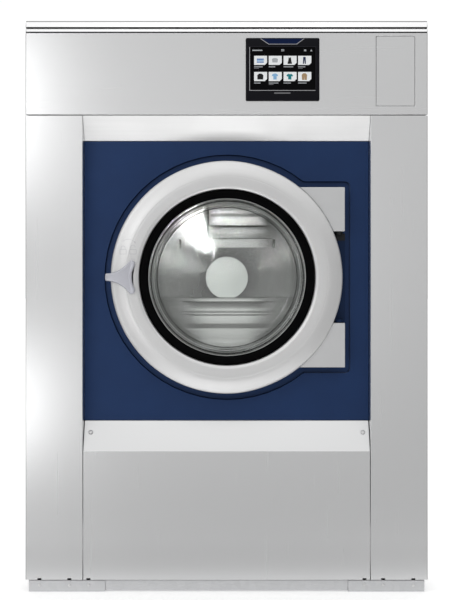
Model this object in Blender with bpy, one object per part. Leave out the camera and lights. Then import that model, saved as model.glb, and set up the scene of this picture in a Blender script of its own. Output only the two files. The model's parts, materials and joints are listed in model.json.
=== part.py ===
"""Industrial front-loading washing machine, about 33 kg class.

Metres, +Z up, front towards -Y, +X to the right seen from the front.
The origin is on the floor, in the middle of the machine's outline.
"""

import math

import bmesh
import bpy
from mathutils import Matrix, Vector

# ------------------------------------------------------------------ dimensions
HALF_W = 0.5100  # half the body's width
HEIGHT = 1.4475
Y_FACE = -0.5520  # front plane of the fascia, columns and lower panel
Y_REAR = 0.5480  # outer face of the rear panel
Y_PANEL = -0.5075  # face of the recessed door panel
SHEET = 0.0025  # folded sheet thickness
GAP = 0.0003  # between pieces that touch
SEAM = 0.0015  # open seam beside a panel

Z_SKIRT = 0.0300  # lower edge of the outer panels
Z_BASE = 0.0285  # top of the base rails
Z_LOWER_TOP = 0.3565  # top of the flat part of the lower panel
Z_PANEL_BOT = 0.4312  # lower edge of the door panel
Z_PANEL_TOP = 1.1472
Z_COLUMN_TOP = 1.2085
Z_FASCIA = (1.2105, 1.4182)
Z_DECK = (1.4202, 1.4316)
Z_COVER = (1.4340, 1.4475)
COLUMN_IN = 0.3655  # inner edge of each front column

DOOR_X, DOOR_Z = 0.0013, 0.7981  # common axis of door, drum and tub
RING_R = 0.2935
RING_FRONT, RING_BACK = -0.5660, -0.5215
POCKET_R, POCKET_X, POCKET_HALF_H = 0.3140, 0.3165, 0.2453
POCKET_FLOOR = -0.4995
MOUTH_R = 0.2400  # hole in the door panel

HINGE = (0.2865, -0.5300)  # x, y of the door's vertical hinge axis
PIN_R = 0.0070
ARM_Z = (0.1165, 0.2290)  # hinge arms, above and below the door axis
HANDLE = (-0.2640, DOOR_Z)  # x, z of the handle's axis
DOOR_OPEN = 115.0

TUB_R = 0.4360
DRUM_R = 0.3975
DRUM_BACK_Y = 0.2560
SHAFT_R = 0.0400
BAFFLE_R, BAFFLE_TOP = 0.3000, 0.0608  # ribbed plate on the drum's back
BIG_PULLEY_R, SMALL_PULLEY_R = 0.2250, 0.0500
MOTOR = (0.2000, 0.2150)  # x, z of the motor's axis
BELT_Y = (0.4240, 0.4560)

SPRING_X, SPRING_Y = 0.4050, (-0.2500, 0.2000)
RAIL_X = (0.3085, 0.5025)
RAIL_FLOOR = 0.0050

DISPLAY = (0.0485, 0.2354, 1.2450, 1.4045)  # x0, x1, z0, z1
SCREEN = (0.0599, 0.2248, 1.2728, 1.3809)
DRAWER = (0.3793, 0.4782, 1.2322, 1.4098)

# ------------------------------------------------------------------ scene set-up
for old in list(bpy.data.objects):
    bpy.data.objects.remove(old, do_unlink=True)
for old in list(bpy.data.meshes):
    bpy.data.meshes.remove(old)
for old in list(bpy.data.materials):
    bpy.data.materials.remove(old)

COLLECTION = bpy.context.scene.collection


def material(name, colour, rough, metal, alpha=1.0):
    mat = bpy.data.materials.new(name)
    mat.use_nodes = True
    shader = mat.node_tree.nodes["Principled BSDF"]
    shader.inputs["Base Color"].default_value = (*colour, 1.0)
    shader.inputs["Roughness"].default_value = rough
    shader.inputs["Metallic"].default_value = metal
    shader.inputs["Alpha"].default_value = alpha
    mat.diffuse_color = (*colour, alpha)
    return mat


STAINLESS = ((0.66, 0.67, 0.68), 0.38, 0.85)
GALVANISED = ((0.55, 0.57, 0.58), 0.50, 0.80)
NAVY = ((0.016, 0.040, 0.105), 0.42, 0.10)
SILVER = ((0.62, 0.62, 0.63), 0.35, 0.55)
BLACK_RUBBER = ((0.012, 0.012, 0.013), 0.60, 0.0)
DARK_STEEL = ((0.050, 0.050, 0.055), 0.50, 0.40)
POLISHED = ((0.72, 0.73, 0.74), 0.22, 0.95)
CHARCOAL = ((0.022, 0.022, 0.030), 0.45, 0.0)
GREY_PLASTIC = ((0.30, 0.31, 0.32), 0.50, 0.0)
CAST = ((0.12, 0.12, 0.125), 0.60, 0.70)
GLASS = ((0.75, 0.80, 0.80), 0.05, 0.0)


# ------------------------------------------------------------------ helpers
def add_object(name, bm, look=None, smooth=None):
    bmesh.ops.recalc_face_normals(bm, faces=bm.faces[:])
    mesh = bpy.data.meshes.new(name)
    bm.to_mesh(mesh)
    bm.free()
    ob = bpy.data.objects.new(name, mesh)
    COLLECTION.objects.link(ob)
    if look:
        alpha = 0.35 if look is GLASS else 1.0
        mesh.materials.append(material(name, *look, alpha))
    if smooth:
        mesh.shade_smooth()
        mesh.set_sharp_from_angle(angle=math.radians(smooth))
    return ob


def box_bm(x0, x1, y0, y1, z0, z1):
    bm = bmesh.new()
    bmesh.ops.create_cube(bm, size=1.0)
    bmesh.ops.scale(bm, vec=(x1 - x0, y1 - y0, z1 - z0), verts=bm.verts[:])
    bmesh.ops.translate(
        bm, vec=((x0 + x1) / 2, (y0 + y1) / 2, (z0 + z1) / 2), verts=bm.verts[:]
    )
    return bm


def box(name, x0, x1, y0, y1, z0, z1, look=None):
    return add_object(name, box_bm(x0, x1, y0, y1, z0, z1), look)


def prism_bm(outline, axis, lo, hi):
    """A straight bar with the given outline. X: (y, z), Y: (x, z), Z: (x, y)."""
    place = {
        "X": lambda u, v, w: (w, u, v),
        "Y": lambda u, v, w: (u, w, v),
        "Z": lambda u, v, w: (u, v, w),
    }[axis]
    bm = bmesh.new()
    face = bm.faces.new([bm.verts.new(place(u, v, lo)) for u, v in outline])
    out = bmesh.ops.extrude_face_region(bm, geom=[face])
    moved = [g for g in out["geom"] if isinstance(g, bmesh.types.BMVert)]
    shift = Vector(place(0.0, 0.0, hi - lo))
    bmesh.ops.translate(bm, vec=shift, verts=moved)
    return bm


def prism(name, outline, axis, lo, hi, look=None, smooth=None):
    return add_object(name, prism_bm(outline, axis, lo, hi), look, smooth)


def turned_bm(profile, steps, centre=(0.0, 0.0), axis="Y"):
    """Spins a profile of (radius, position) about an axis. It is a closed loop
    unless it starts and ends on the axis."""
    bm = bmesh.new()
    if axis == "Y":
        cx, cz = centre
        pts = [bm.verts.new((cx + r, p, cz)) for r, p in profile]
        cent, direction = (cx, 0.0, cz), (0.0, 1.0, 0.0)
    else:
        cx, cy = centre
        pts = [bm.verts.new((cx + r, cy, p)) for r, p in profile]
        cent, direction = (cx, cy, 0.0), (0.0, 0.0, 1.0)
    edges = [bm.edges.new((a, b)) for a, b in zip(pts, pts[1:])]
    if profile[0][0] > 1e-9 or profile[-1][0] > 1e-9:
        edges.append(bm.edges.new((pts[-1], pts[0])))
    bmesh.ops.spin(
        bm,
        geom=edges + pts,
        cent=cent,
        axis=direction,
        angle=2 * math.pi,
        steps=steps,
        use_merge=True,
        use_duplicate=False,
    )
    bmesh.ops.remove_doubles(bm, verts=bm.verts[:], dist=1e-6)
    return bm


def turned(name, profile, steps, centre=(DOOR_X, DOOR_Z), axis="Y", look=None, smooth=35):
    return add_object(name, turned_bm(profile, steps, centre, axis), look, smooth)


def rod_profile(radius, lo, hi, chamfer=0.0):
    if chamfer:
        return [(0, lo), (radius - chamfer, lo), (radius, lo + chamfer),
                (radius, hi - chamfer), (radius - chamfer, hi), (0, hi)]
    return [(0, lo), (radius, lo), (radius, hi), (0, hi)]


def tube_profile(r_in, r_out, lo, hi):
    return [(r_in, lo), (r_out, lo), (r_out, hi), (r_in, hi)]


def boolean(ob, tool, operation):
    """Keeps the cutter or the added body in the file as a hidden guide."""
    tool.hide_render = True
    tool.display_type = "WIRE"
    mod = ob.modifiers.new(operation.lower(), "BOOLEAN")
    mod.operation = operation
    mod.solver = "EXACT"
    mod.object = tool
    return mod


def cut(ob, tool):
    return boolean(ob, tool, "DIFFERENCE")


def join(ob, tool):
    return boolean(ob, tool, "UNION")


def round_edges(ob, width, segments=1, angle=50):
    mod = ob.modifiers.new("edges", "BEVEL")
    mod.width = width
    mod.segments = segments
    mod.limit_method = "ANGLE"
    mod.angle_limit = math.radians(angle)
    return mod


def pivot(name, x, y, z, parent=None):
    empty = bpy.data.objects.new(name, None)
    empty.empty_display_size = 0.05
    COLLECTION.objects.link(empty)
    empty.location = Vector((x, y, z)) - (parent["at"] if parent else Vector())
    if parent:
        empty.parent = parent["empty"]
    return {"empty": empty, "at": Vector((x, y, z))}


def carry(pivot_point, *objects):
    """Moves each object's origin onto the joint's axis and parents it there."""
    for ob in objects:
        ob.data.transform(Matrix.Translation(-pivot_point["at"]))
        ob.parent = pivot_point["empty"]


def clear_bore(shaft_r, steps, gap=GAP):
    """Vertex radius of a faceted bore that clears a shaft at every angle."""
    return (shaft_r + gap) / math.cos(math.pi / steps)


# ------------------------------------------------------------------ base
for side, sx in (("left", -1), ("right", 1)):
    x0, x1 = sorted((sx * RAIL_X[0], sx * RAIL_X[1]))
    rail = box("foot_rail_" + side, x0, x1, -0.5495, 0.5460, 0.0, Z_BASE, GALVANISED)
    cut(rail, box("cut_rail_" + side, x0 + 0.004, x1 - 0.004, -0.5455, 0.5420,
                  RAIL_FLOOR, 0.06))

for end, y0, depth in (("front", -0.5460, 1), ("rear", 0.5430, -1)):
    # channel standing on its flanges, open towards the machine's middle
    outline = [(y0, 0.0030), (y0 + depth * 0.080, 0.0030), (y0 + depth * 0.080, 0.0060),
               (y0 + depth * 0.003, 0.0060), (y0 + depth * 0.003, Z_BASE - 0.003),
               (y0 + depth * 0.080, Z_BASE - 0.003), (y0 + depth * 0.080, Z_BASE),
               (y0, Z_BASE)]
    prism("base_beam_" + end, outline, "X", -RAIL_X[0] + GAP, RAIL_X[0] - GAP, GALVANISED)

# ------------------------------------------------------------------ outer panels
for side, sx in (("left", -1), ("right", 1)):
    o, i = sx * HALF_W, sx * (HALF_W - SHEET)
    flange = sx * (HALF_W - 0.035)
    top = Z_FASCIA[1]
    outline = [(o, Z_SKIRT), (i, Z_SKIRT), (i, top - SHEET), (flange, top - SHEET),
               (flange, top), (o, top)]
    prism("side_panel_" + side, outline, "Y", -0.5120, Y_REAR, STAINLESS)

    inner = sx * COLUMN_IN
    back = -0.5040
    outline = [(o, Y_FACE), (inner, Y_FACE), (inner, back),
               (inner + sx * SHEET, back), (inner + sx * SHEET, Y_FACE + SHEET),
               (i, Y_FACE + SHEET), (i, -0.5125), (o, -0.5125)]
    column = prism("front_column_" + side, outline, "Z", Z_SKIRT, Z_COLUMN_TOP, STAINLESS)

rear = box("rear_panel", -HALF_W + SHEET + 0.0005, HALF_W - SHEET - 0.0005,
           Y_REAR - SHEET, Y_REAR, Z_SKIRT, Z_FASCIA[1] - SHEET - GAP, GALVANISED)

deck = box("top_deck", -HALF_W, HALF_W, Y_FACE, Y_REAR, *Z_DECK, STAINLESS)
join(deck, box("add_deck_step", -HALF_W + 0.010, HALF_W - 0.010, Y_FACE + 0.010,
               Y_REAR - 0.010, Z_FASCIA[1] + GAP, Z_DECK[1] - 0.001))
cut(deck, box("cut_deck", -HALF_W + 0.013, HALF_W - 0.013, Y_FACE + 0.013,
              Y_REAR - 0.013, 1.40, Z_DECK[1] - SHEET))

cover = box("top_cover", -HALF_W, HALF_W, Y_FACE, Y_REAR, *Z_COVER, STAINLESS)
join(cover, box("add_cover_step", -HALF_W + 0.010, HALF_W - 0.010, Y_FACE + 0.010,
                Y_REAR - 0.010, Z_DECK[1] + GAP, Z_COVER[1] - 0.001))
cut(cover, box("cut_cover", -HALF_W + 0.013, HALF_W - 0.013, Y_FACE + 0.013,
               Y_REAR - 0.013, 1.42, Z_COVER[1] - SHEET))

# ------------------------------------------------------------------ fascia
fascia = box("fascia", -HALF_W, HALF_W, Y_FACE, -0.5125, *Z_FASCIA, STAINLESS)
cut(fascia, box("cut_fascia_back", -HALF_W + SHEET, HALF_W - SHEET, Y_FACE + SHEET, -0.49,
                Z_FASCIA[0] + SHEET, Z_FASCIA[1] - SHEET))
cut(fascia, box("cut_fascia_display", DISPLAY[0] + 0.0065, DISPLAY[1] - 0.0065, -0.60, -0.53,
                DISPLAY[2] + 0.0065, DISPLAY[3] - 0.0065))
cut(fascia, box("cut_fascia_drawer", DRAWER[0], DRAWER[1], -0.60, -0.53, DRAWER[2], DRAWER[3]))

# ------------------------------------------------------------------ door surround
half = COLUMN_IN - 0.0005
slope = [(Y_FACE, Z_COLUMN_TOP), (Y_PANEL - 0.0008, Z_PANEL_TOP + 0.0008),
         (Y_PANEL + 0.0020, Z_PANEL_TOP + 0.0008), (Y_FACE + 0.0030, Z_COLUMN_TOP)]
prism("upper_slope_strip", slope, "X", -half, half, STAINLESS)


def pocket_outline(grow, arc_steps=40, corner=0.012, corner_steps=3):
    """A disc round the door joined to a rectangle that reaches past the hinges."""
    r, px, hh = POCKET_R + grow, POCKET_X + grow, POCKET_HALF_H + grow
    cr = corner + grow
    pts = []
    for cz, a0 in ((-hh + cr, -90), (hh - cr, 0)):
        for k in range(corner_steps + 1):
            a = math.radians(a0 + 90 * k / corner_steps)
            pts.append((px - cr + cr * math.cos(a), cz + cr * math.sin(a)))
    start = math.asin(hh / r)
    sweep = 2 * math.pi - 2 * start
    for k in range(arc_steps + 1):
        a = start + sweep * k / arc_steps
        pts.append((DOOR_X + r * math.cos(a), r * math.sin(a)))
    return [(x, z + DOOR_Z) for x, z in pts]


half = COLUMN_IN - 0.0006
panel = box("door_panel", -half, half, Y_PANEL, Y_PANEL + 0.003, Z_PANEL_BOT, Z_PANEL_TOP, NAVY)
join(panel, prism("add_pocket", pocket_outline(0.003), "Y", Y_PANEL + 0.0005, POCKET_FLOOR + 0.003))
cut(panel, prism("cut_pocket", pocket_outline(0.0), "Y", -0.53, POCKET_FLOOR))
cut(panel, turned("cut_mouth", rod_profile(MOUTH_R, -0.55, -0.45), 36))
cut(panel, turned("cut_latch_way", rod_profile(0.0098, -0.55, -0.45), 16, HANDLE))

half = COLUMN_IN - SEAM
fold = [(Y_PANEL - 0.0008, Z_PANEL_BOT - 0.0005), (Y_FACE, Z_LOWER_TOP), (Y_FACE, Z_SKIRT),
        (Y_FACE + SHEET, Z_SKIRT), (Y_FACE + SHEET, Z_LOWER_TOP - 0.0008),
        (Y_PANEL + 0.0022, Z_PANEL_BOT - 0.0005)]
prism("lower_front_panel", fold, "X", -half, half, STAINLESS)

# two pan-head screws square to the sloped strip
strip_top = Vector((0, Y_PANEL - 0.0008, Z_PANEL_BOT - 0.0005))
strip_low = Vector((0, Y_FACE, Z_LOWER_TOP))
along = (strip_low - strip_top).normalized()
square = Vector((0, along.z, -along.y))
for side, x in (("left", -0.3471), ("right", 0.3483)):
    at = strip_top + along * 0.0335 + square * GAP
    screw = turned("panel_screw_" + side,
                   [(0, 0), (0.0062, 0), (0.0062, 0.0012), (0.0045, 0.0030), (0, 0.0036)],
                   16, (0.0, 0.0), "Z", POLISHED, 40)
    screw.rotation_euler = square.to_track_quat("Z", "Y").to_euler()
    screw.location = (x, at.y, at.z)

# ------------------------------------------------------------------ control unit
housing = box("display_housing", DISPLAY[0], DISPLAY[1], -0.5575, Y_FACE - GAP,
              DISPLAY[2], DISPLAY[3], CHARCOAL)
join(housing, box("add_display_body", DISPLAY[0] + 0.0072, DISPLAY[1] - 0.0072, -0.5540, -0.5000,
                  DISPLAY[2] + 0.0072, DISPLAY[3] - 0.0072))
cut(housing, box("cut_display", SCREEN[0] - GAP, SCREEN[1] + GAP, -0.57, -0.5540,
                 SCREEN[2] - GAP, SCREEN[3] + GAP))
box("touch_screen", SCREEN[0], SCREEN[1], -0.5570, -0.5543, SCREEN[2], SCREEN[3],
    ((0.006, 0.006, 0.008), 0.12, 0.0))

# ------------------------------------------------------------------ detergent compartment
bx0, bx1, bz0, bz1 = DRAWER[0] - 0.0015, DRAWER[1] + 0.0015, DRAWER[2] - 0.0012, DRAWER[3] + 0.0012
det_box = box("detergent_box", bx0, bx1, -0.5465, -0.3200, bz0, bz1, GREY_PLASTIC)
cut(det_box, box("cut_detergent_box", bx0 + 0.003, bx1 - 0.003, -0.60, -0.3230,
                 bz0 + 0.003, bz1 - 0.003))

drawer = box("detergent_drawer", DRAWER[0] + 0.0008, DRAWER[1] - 0.0008, Y_FACE, Y_FACE + 0.0050,
             DRAWER[2] + 0.0008, DRAWER[3] - 0.0008, STAINLESS)
tray = (DRAWER[0] + 0.0070, DRAWER[1] - 0.0070, DRAWER[2] + 0.0060, 1.3300)
join(drawer, box("add_tray", tray[0], tray[1], Y_FACE + 0.0040, -0.3400, tray[2], tray[3]))
for n, (y0, y1) in enumerate(((-0.5440, -0.4450), (-0.4420, -0.3430))):
    cut(drawer, box("cut_tray_%d" % n, tray[0] + 0.003, tray[1] - 0.003, y0, y1,
                    tray[2] + 0.003, 1.36))

# ------------------------------------------------------------------ rear connections
for name, x in (("cold", -0.3000), ("hot", -0.2200)):
    cut(rear, turned("cut_inlet_" + name, rod_profile(0.0165, 0.50, 0.60), 20, (x, 1.3000)))
    valve = turned("water_inlet_" + name,
                   [(0, 0.5000), (0.024, 0.5000), (0.024, Y_REAR - SHEET - GAP),
                    (0.0140, Y_REAR - SHEET - GAP), (0.0140, 0.5800), (0.0095, 0.5800),
                    (0.0095, 0.5550), (0, 0.5550)],
                   20, (x, 1.3000), look=POLISHED)
cut(rear, turned("cut_drain", rod_profile(0.0405, 0.50, 0.60), 24, (-0.1500, 0.1150)))
turned("drain_outlet", tube_profile(0.0340, 0.0375, 0.4400, 0.5800), 24, (-0.1500, 0.1150),
       look=GREY_PLASTIC)
mains = box("mains_box", 0.2500, 0.4200, Y_REAR + GAP, 0.5750, 1.1200, 1.3000, GREY_PLASTIC)
round_edges(mains, 0.003)
turned("cable_gland",
       [(0, 1.1197), (0.0135, 1.1197), (0.0135, 1.1090), (0.0110, 1.1070), (0.0110, 1.0950),
        (0.0060, 1.0950), (0.0060, 1.1100), (0, 1.1100)],
       12, (0.3350, 0.5622), "Z", DARK_STEEL)

# ------------------------------------------------------------------ door mouth, hinge and lock
turned("door_bellows",
       [(0.2255, -0.5205), (0.2370, -0.5205), (0.2385, -0.5150),
        (0.2385, POCKET_FLOOR + 0.0034), (0.2470, POCKET_FLOOR + 0.0034), (0.2470, -0.4880),
        (0.2410, -0.4870), (0.2475, -0.4740), (0.2410, -0.4600), (0.2475, -0.4460),
        (0.2420, -0.4330), (0.2370, -0.4330), (0.2425, -0.4460), (0.2370, -0.4600),
        (0.2425, -0.4740), (0.2350, -0.4890)],
       36, look=BLACK_RUBBER)

hx, hy = HINGE
bracket = box("hinge_bracket", hx - 0.0245, hx + 0.0170, hy + 0.0160, POCKET_FLOOR - GAP,
              DOOR_Z - 0.1120, DOOR_Z + 0.1120, DARK_STEEL)
for s in (-1, 1):
    zs = sorted((DOOR_Z + s * 0.1080, DOOR_Z + s * (ARM_Z[0] - 0.0006)))
    join(bracket, box("add_lug_%d" % s, hx - 0.0100, hx + 0.0100, hy, POCKET_FLOOR - 0.003, *zs))
    join(bracket, turned("add_knuckle_%d" % s, rod_profile(0.0096, zs[0] + 0.0006, zs[1] - 0.0006),
                         16, HINGE, "Z"))
    zp = sorted((DOOR_Z + s * 0.1090, DOOR_Z + s * 0.2050))
    join(bracket, turned("add_pin_%d" % s, rod_profile(PIN_R, *zp), 12, HINGE, "Z"))

lock = box("door_lock", -0.3080, -0.2488, POCKET_FLOOR + 0.0033, -0.4500,
           DOOR_Z - 0.0350, DOOR_Z + 0.0350, DARK_STEEL)
cut(lock, turned("cut_lock", rod_profile(0.0105, -0.55, -0.4780), 16, HANDLE))

# ------------------------------------------------------------------ door
door_axis = pivot("door_hinge_axis", hx, hy, DOOR_Z)

ring = turned("door_ring",
              [(0.2235, -0.5560), (0.2310, RING_FRONT), (0.2520, RING_FRONT),
               (0.2640, -0.5638), (0.2750, -0.5588), (0.2845, -0.5510),
               (0.2908, -0.5410), (RING_R, -0.5310), (RING_R, -0.5245), (0.2905, RING_BACK),
               (0.2235, RING_BACK)],
              60, look=SILVER, smooth=25)
cut(ring, turned("cut_ring_shaft", rod_profile(0.0105, -0.60, -0.50), 16, HANDLE))

gasket = turned("glass_gasket",
                [(0.2007, -0.5490), (0.2040, -0.5530), (0.2195, -0.5530), (0.2229, -0.5490),
                 (0.2229, -0.5350), (0.2007, -0.5350)],
                40, look=BLACK_RUBBER, smooth=40)

glass = turned("door_glass",
               [(0, -0.4010), (0.1200, -0.4035), (0.1700, -0.4075), (0.1835, -0.4240),
                (0.1945, -0.5150), (0.2005, -0.5347), (0.2229, -0.5347),
                (0.2229, -0.5267), (0.2060, -0.5267), (0.2025, -0.5150), (0.1920, -0.4240),
                (0.1800, -0.4025), (0.1200, -0.3960), (0, -0.3935)],
               40, look=GLASS, smooth=40)

arms = []
for name, s in (("upper", 1), ("lower", -1)):
    zs = sorted((DOOR_Z + s * ARM_Z[0], DOOR_Z + s * ARM_Z[1]))
    arm = box("hinge_arm_" + name, 0.1500, 0.3008, hy - 0.0155, hy + 0.0135, *zs,
              ((0.58, 0.58, 0.59), 0.35, 0.60))
    # clear of the ring in front, and of the mouth's seal behind it
    cut(arm, turned("cut_arm_ring_" + name, rod_profile(RING_R + 0.0006, -0.60, RING_BACK + GAP), 60))
    cut(arm, turned("cut_arm_seal_" + name, rod_profile(0.2530, -0.60, -0.45), 36))
    bore = sorted((DOOR_Z + s * 0.10, DOOR_Z + s * 0.2100))
    cut(arm, turned("cut_arm_bore_" + name, rod_profile(clear_bore(PIN_R, 12, 0.0005), *bore), 12,
                    HINGE, "Z"))
    arms.append(arm)

carry(door_axis, ring, gasket, glass, *arms)

# ------------------------------------------------------------------ handle
handle_axis = pivot("handle_axis", HANDLE[0], RING_FRONT, HANDLE[1], door_axis)


def lever_outline():
    """A stem that points outwards and flares into two horns, metres about the axis."""
    upper = [(-0.0395, 0.0098)]
    for k in range(1, 7):  # concave flare from the stem to the tip of the horn
        t = k / 6
        upper.append((-0.0290 + 0.0500 * t, 0.0098 + 0.0322 * t ** 2.2))
    upper.append((0.0290, 0.0400))
    upper.append((0.0335, 0.0330))
    upper.append((0.0255, 0.0160))
    upper.append((0.0225, 0.0))
    lower = [(x, -z) for x, z in reversed(upper[:-1])]
    return upper + lower + [(-0.0425, -0.0060), (-0.0425, 0.0060)]


lever = prism("door_handle",
              [(HANDLE[0] + x, HANDLE[1] + z) for x, z in lever_outline()],
              "Y", -0.5800, RING_FRONT - 0.0006, SILVER)
join(lever, turned("add_handle_shaft", rod_profile(0.0080, -0.5700, -0.5050), 16, HANDLE))

tongue = box("latch_tongue", HANDLE[0] - 0.0058, HANDLE[0] + 0.0058, -0.5046, -0.4870,
             HANDLE[1] - 0.0040, HANDLE[1] + 0.0040, DARK_STEEL)
carry(handle_axis, lever, tongue)

# ------------------------------------------------------------------ detergent drawer slides
drawer_rest = pivot("drawer_slide", (DRAWER[0] + DRAWER[1]) / 2, Y_FACE, (DRAWER[2] + DRAWER[3]) / 2)
carry(drawer_rest, drawer)

# ------------------------------------------------------------------ suspended tub
tub_rest = pivot("tub_bounce", DOOR_X, 0.0, DOOR_Z)

tub_shell = turned("tub_shell", tube_profile(TUB_R - 0.005, TUB_R, -0.3942, 0.2937), 40,
                   look=POLISHED)
tub_front = turned("tub_front",
                   [(0.2140, -0.4550), (0.2200, -0.4550), (0.2200, -0.4005), (0.4400, -0.4005),
                    (0.4400, -0.3945), (0.2140, -0.3945)], 40, look=POLISHED)
tub_back = turned("tub_back", tube_profile(0.0455, 0.4400, 0.2940, 0.3000), 40, look=POLISHED)
housing_bore = clear_bore(SHAFT_R, 24, 0.0006)
bearing = turned("bearing_housing",
                 [(housing_bore, 0.3003), (0.1300, 0.3003), (0.1300, 0.3180), (0.0900, 0.3240),
                  (0.0700, 0.4050), (housing_bore, 0.4050)], 24, look=CAST)

cradles = []
for side, sx in (("left", -1), ("right", 1)):
    x0, x1 = sorted((sx * 0.3400, sx * 0.4700))
    beam = box("tub_cradle_" + side, x0, x1, -0.3200, 0.2700, 0.3450, 0.3530, CAST)
    for n, y in enumerate(SPRING_Y):
        arc = []
        for k in range(9):
            a = math.radians(35.0 + 41.0 * k / 8)  # from straight down
            arc.append((DOOR_X + sx * (TUB_R + 0.0012) * math.sin(a),
                        DOOR_Z - (TUB_R + 0.0012) * math.cos(a)))
        web = [(sx * 0.4650, 0.3500), (sx * 0.2500, 0.3500)] + arc + [(sx * 0.4650, 0.6000)]
        join(beam, prism("add_web_%s_%d" % (side, n), web, "Y", y - 0.006, y + 0.006))
    cradles.append(beam)

motor = turned("drive_motor",
               [(0, 0.0800), (0.0850, 0.0800), (0.1050, 0.0950), (0.1050, 0.3700),
                (0.0850, 0.3850), (0, 0.3850)], 20, MOTOR, look=CAST)
for n, y in enumerate((0.1300, 0.2720)):
    arc = [(x, DOOR_Z - math.sqrt((TUB_R + 0.0012) ** 2 - (x - DOOR_X) ** 2))
           for x in (0.11, 0.1325, 0.155, 0.1775, 0.20, 0.2225, 0.245, 0.2675, 0.29)]
    web = [(0.2900, MOTOR[1] + 0.03), (0.1100, MOTOR[1] + 0.03)] + arc
    join(motor, prism("add_motor_web_%d" % n, web, "Y", y - 0.006, y + 0.006))

drain = turned("drain_valve",
               [(0, 0.2000), (0.0480, 0.2000), (0.0480, 0.2900), (0.0380, 0.3000),
                (0.0380, 0.3660), (0, 0.3660)], 20, (-0.1200, 0.1000), "Z", GREY_PLASTIC)


def belt_outline(extra, steps=18):
    """The open run of a belt round the two pulleys, as an outline of (x, z)."""
    big, small = Vector((DOOR_X, DOOR_Z)), Vector(MOTOR)
    rb, rs = BIG_PULLEY_R + extra, SMALL_PULLEY_R + extra
    line = small - big
    heading = math.atan2(line.y, line.x)
    spread = math.acos((rb - rs) / line.length)
    pts = []
    for k in range(2 * steps + 1):  # far side of the large pulley
        a = heading + spread + (2 * math.pi - 2 * spread) * k / (2 * steps)
        pts.append((big.x + rb * math.cos(a), big.y + rb * math.sin(a)))
    for k in range(steps // 2 + 1):  # round the small one
        a = heading - spread + 2 * spread * k / (steps // 2)
        pts.append((small.x + rs * math.cos(a), small.y + rs * math.sin(a)))
    return pts


belt = prism("drive_belt", belt_outline(0.0052), "Y", *BELT_Y, BLACK_RUBBER, 30)
cut(belt, prism("cut_belt", belt_outline(0.0018), "Y", 0.40, 0.50))

carry(tub_rest, tub_shell, tub_front, tub_back, bearing, *cradles, motor, drain, belt)

# the springs stand in the base rails and carry the cradles
for end, y in (("front", SPRING_Y[0]), ("rear", SPRING_Y[1])):
    for side, sx in (("left", -1), ("right", 1)):
        turned("spring_%s_%s" % (end, side),
               tube_profile(0.0370, 0.0450, RAIL_FLOOR + GAP, 0.3450 - GAP), 16,
               (sx * SPRING_X, y), "Z", DARK_STEEL)

# ------------------------------------------------------------------ drum
drum_axis = pivot("drum_axis", DOOR_X, 0.0, DOOR_Z, tub_rest)

drum_shell = turned("drum_shell", tube_profile(DRUM_R - 0.003, DRUM_R, -0.3640, 0.2680), 48,
                    look=POLISHED)
drum_front = turned("drum_front",
                    [(DRUM_R, -0.3643), (0.3950, -0.3710), (0.3880, -0.3760), (0.2400, -0.3800),
                     (0.2245, -0.3845), (0.2205, -0.3805), (0.2205, -0.3765), (0.2400, -0.3770),
                     (0.3860, -0.3730), (DRUM_R - 0.003, -0.3643)],
                    40, look=POLISHED)
drum_back = turned("drum_back",
                   [(0, DRUM_BACK_Y), (0.3915, DRUM_BACK_Y), (0.3915, DRUM_BACK_Y + 0.006),
                    (0, DRUM_BACK_Y + 0.006)], 48, look=POLISHED)
hub = turned("hub_cover",
             [(0, 0.2370), (0.0480, 0.2385), (0.0610, 0.2440), (0.0650, DRUM_BACK_Y - GAP),
              (0, DRUM_BACK_Y - GAP)], 24, look=((0.50, 0.53, 0.50), 0.45, 0.20))
# the ribbed plate below takes a flat off the hub's lower edge
cut(hub, box("cut_hub", -0.1, 0.1, 0.20, 0.27, DOOR_Z - 0.12, DOOR_Z - BAFFLE_TOP + 0.0004))

# pressed plate on the drum's back below the hub, its ribs running across
ribs = [(DRUM_BACK_Y - 0.0005, -BAFFLE_TOP), (0.2345, -BAFFLE_TOP), (0.2315, -0.0635),
        (0.2315, -0.0700), (0.2345, -0.0735), (0.2390, -0.0780), (0.2390, -0.0920),
        (0.2350, -0.0960), (0.2350, -0.1025), (0.2375, -0.1050), (0.2355, -0.1075),
        (0.2355, -0.1145), (0.2380, -0.1170), (0.2355, -0.1200), (0.2355, -0.1420),
        (0.2400, -0.1465), (0.2400, -0.1550), (0.2360, -0.1595), (0.2360, -0.2300),
        (0.2430, -0.3050)]
inside = [(DRUM_BACK_Y - 0.0005, -BAFFLE_TOP - SHEET), (0.2355, -BAFFLE_TOP - SHEET),
          (0.2340, -0.0650)] + [(y + SHEET, z) for y, z in ribs[3:]]
baffle = prism("drum_baffle", [(y, z + DOOR_Z) for y, z in ribs + inside[::-1]], "X",
               -0.3100, 0.3100, POLISHED)
boolean(baffle, turned("trim_baffle", rod_profile(BAFFLE_R, 0.20, 0.30), 36), "INTERSECT")
shaft = turned("drum_shaft",
               [(0, 0.2623), (0.1100, 0.2623), (0.1100, 0.2760), (0.0600, 0.2800),
                (SHAFT_R, 0.2860), (SHAFT_R, 0.4640), (0, 0.4640)], 24, look=CAST)
pulley_bore = clear_bore(SHAFT_R, 24, 0.0004)
big_pulley = turned("drum_pulley",
                    [(pulley_bore, 0.4200), (0.0750, 0.4200), (0.0750, 0.4360), (0.2080, 0.4360),
                     (0.2080, BELT_Y[0]), (BIG_PULLEY_R, BELT_Y[0]), (BIG_PULLEY_R, BELT_Y[1]),
                     (0.2080, BELT_Y[1]), (0.2080, 0.4420), (pulley_bore, 0.4420)],
                    36, look=CAST)



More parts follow.
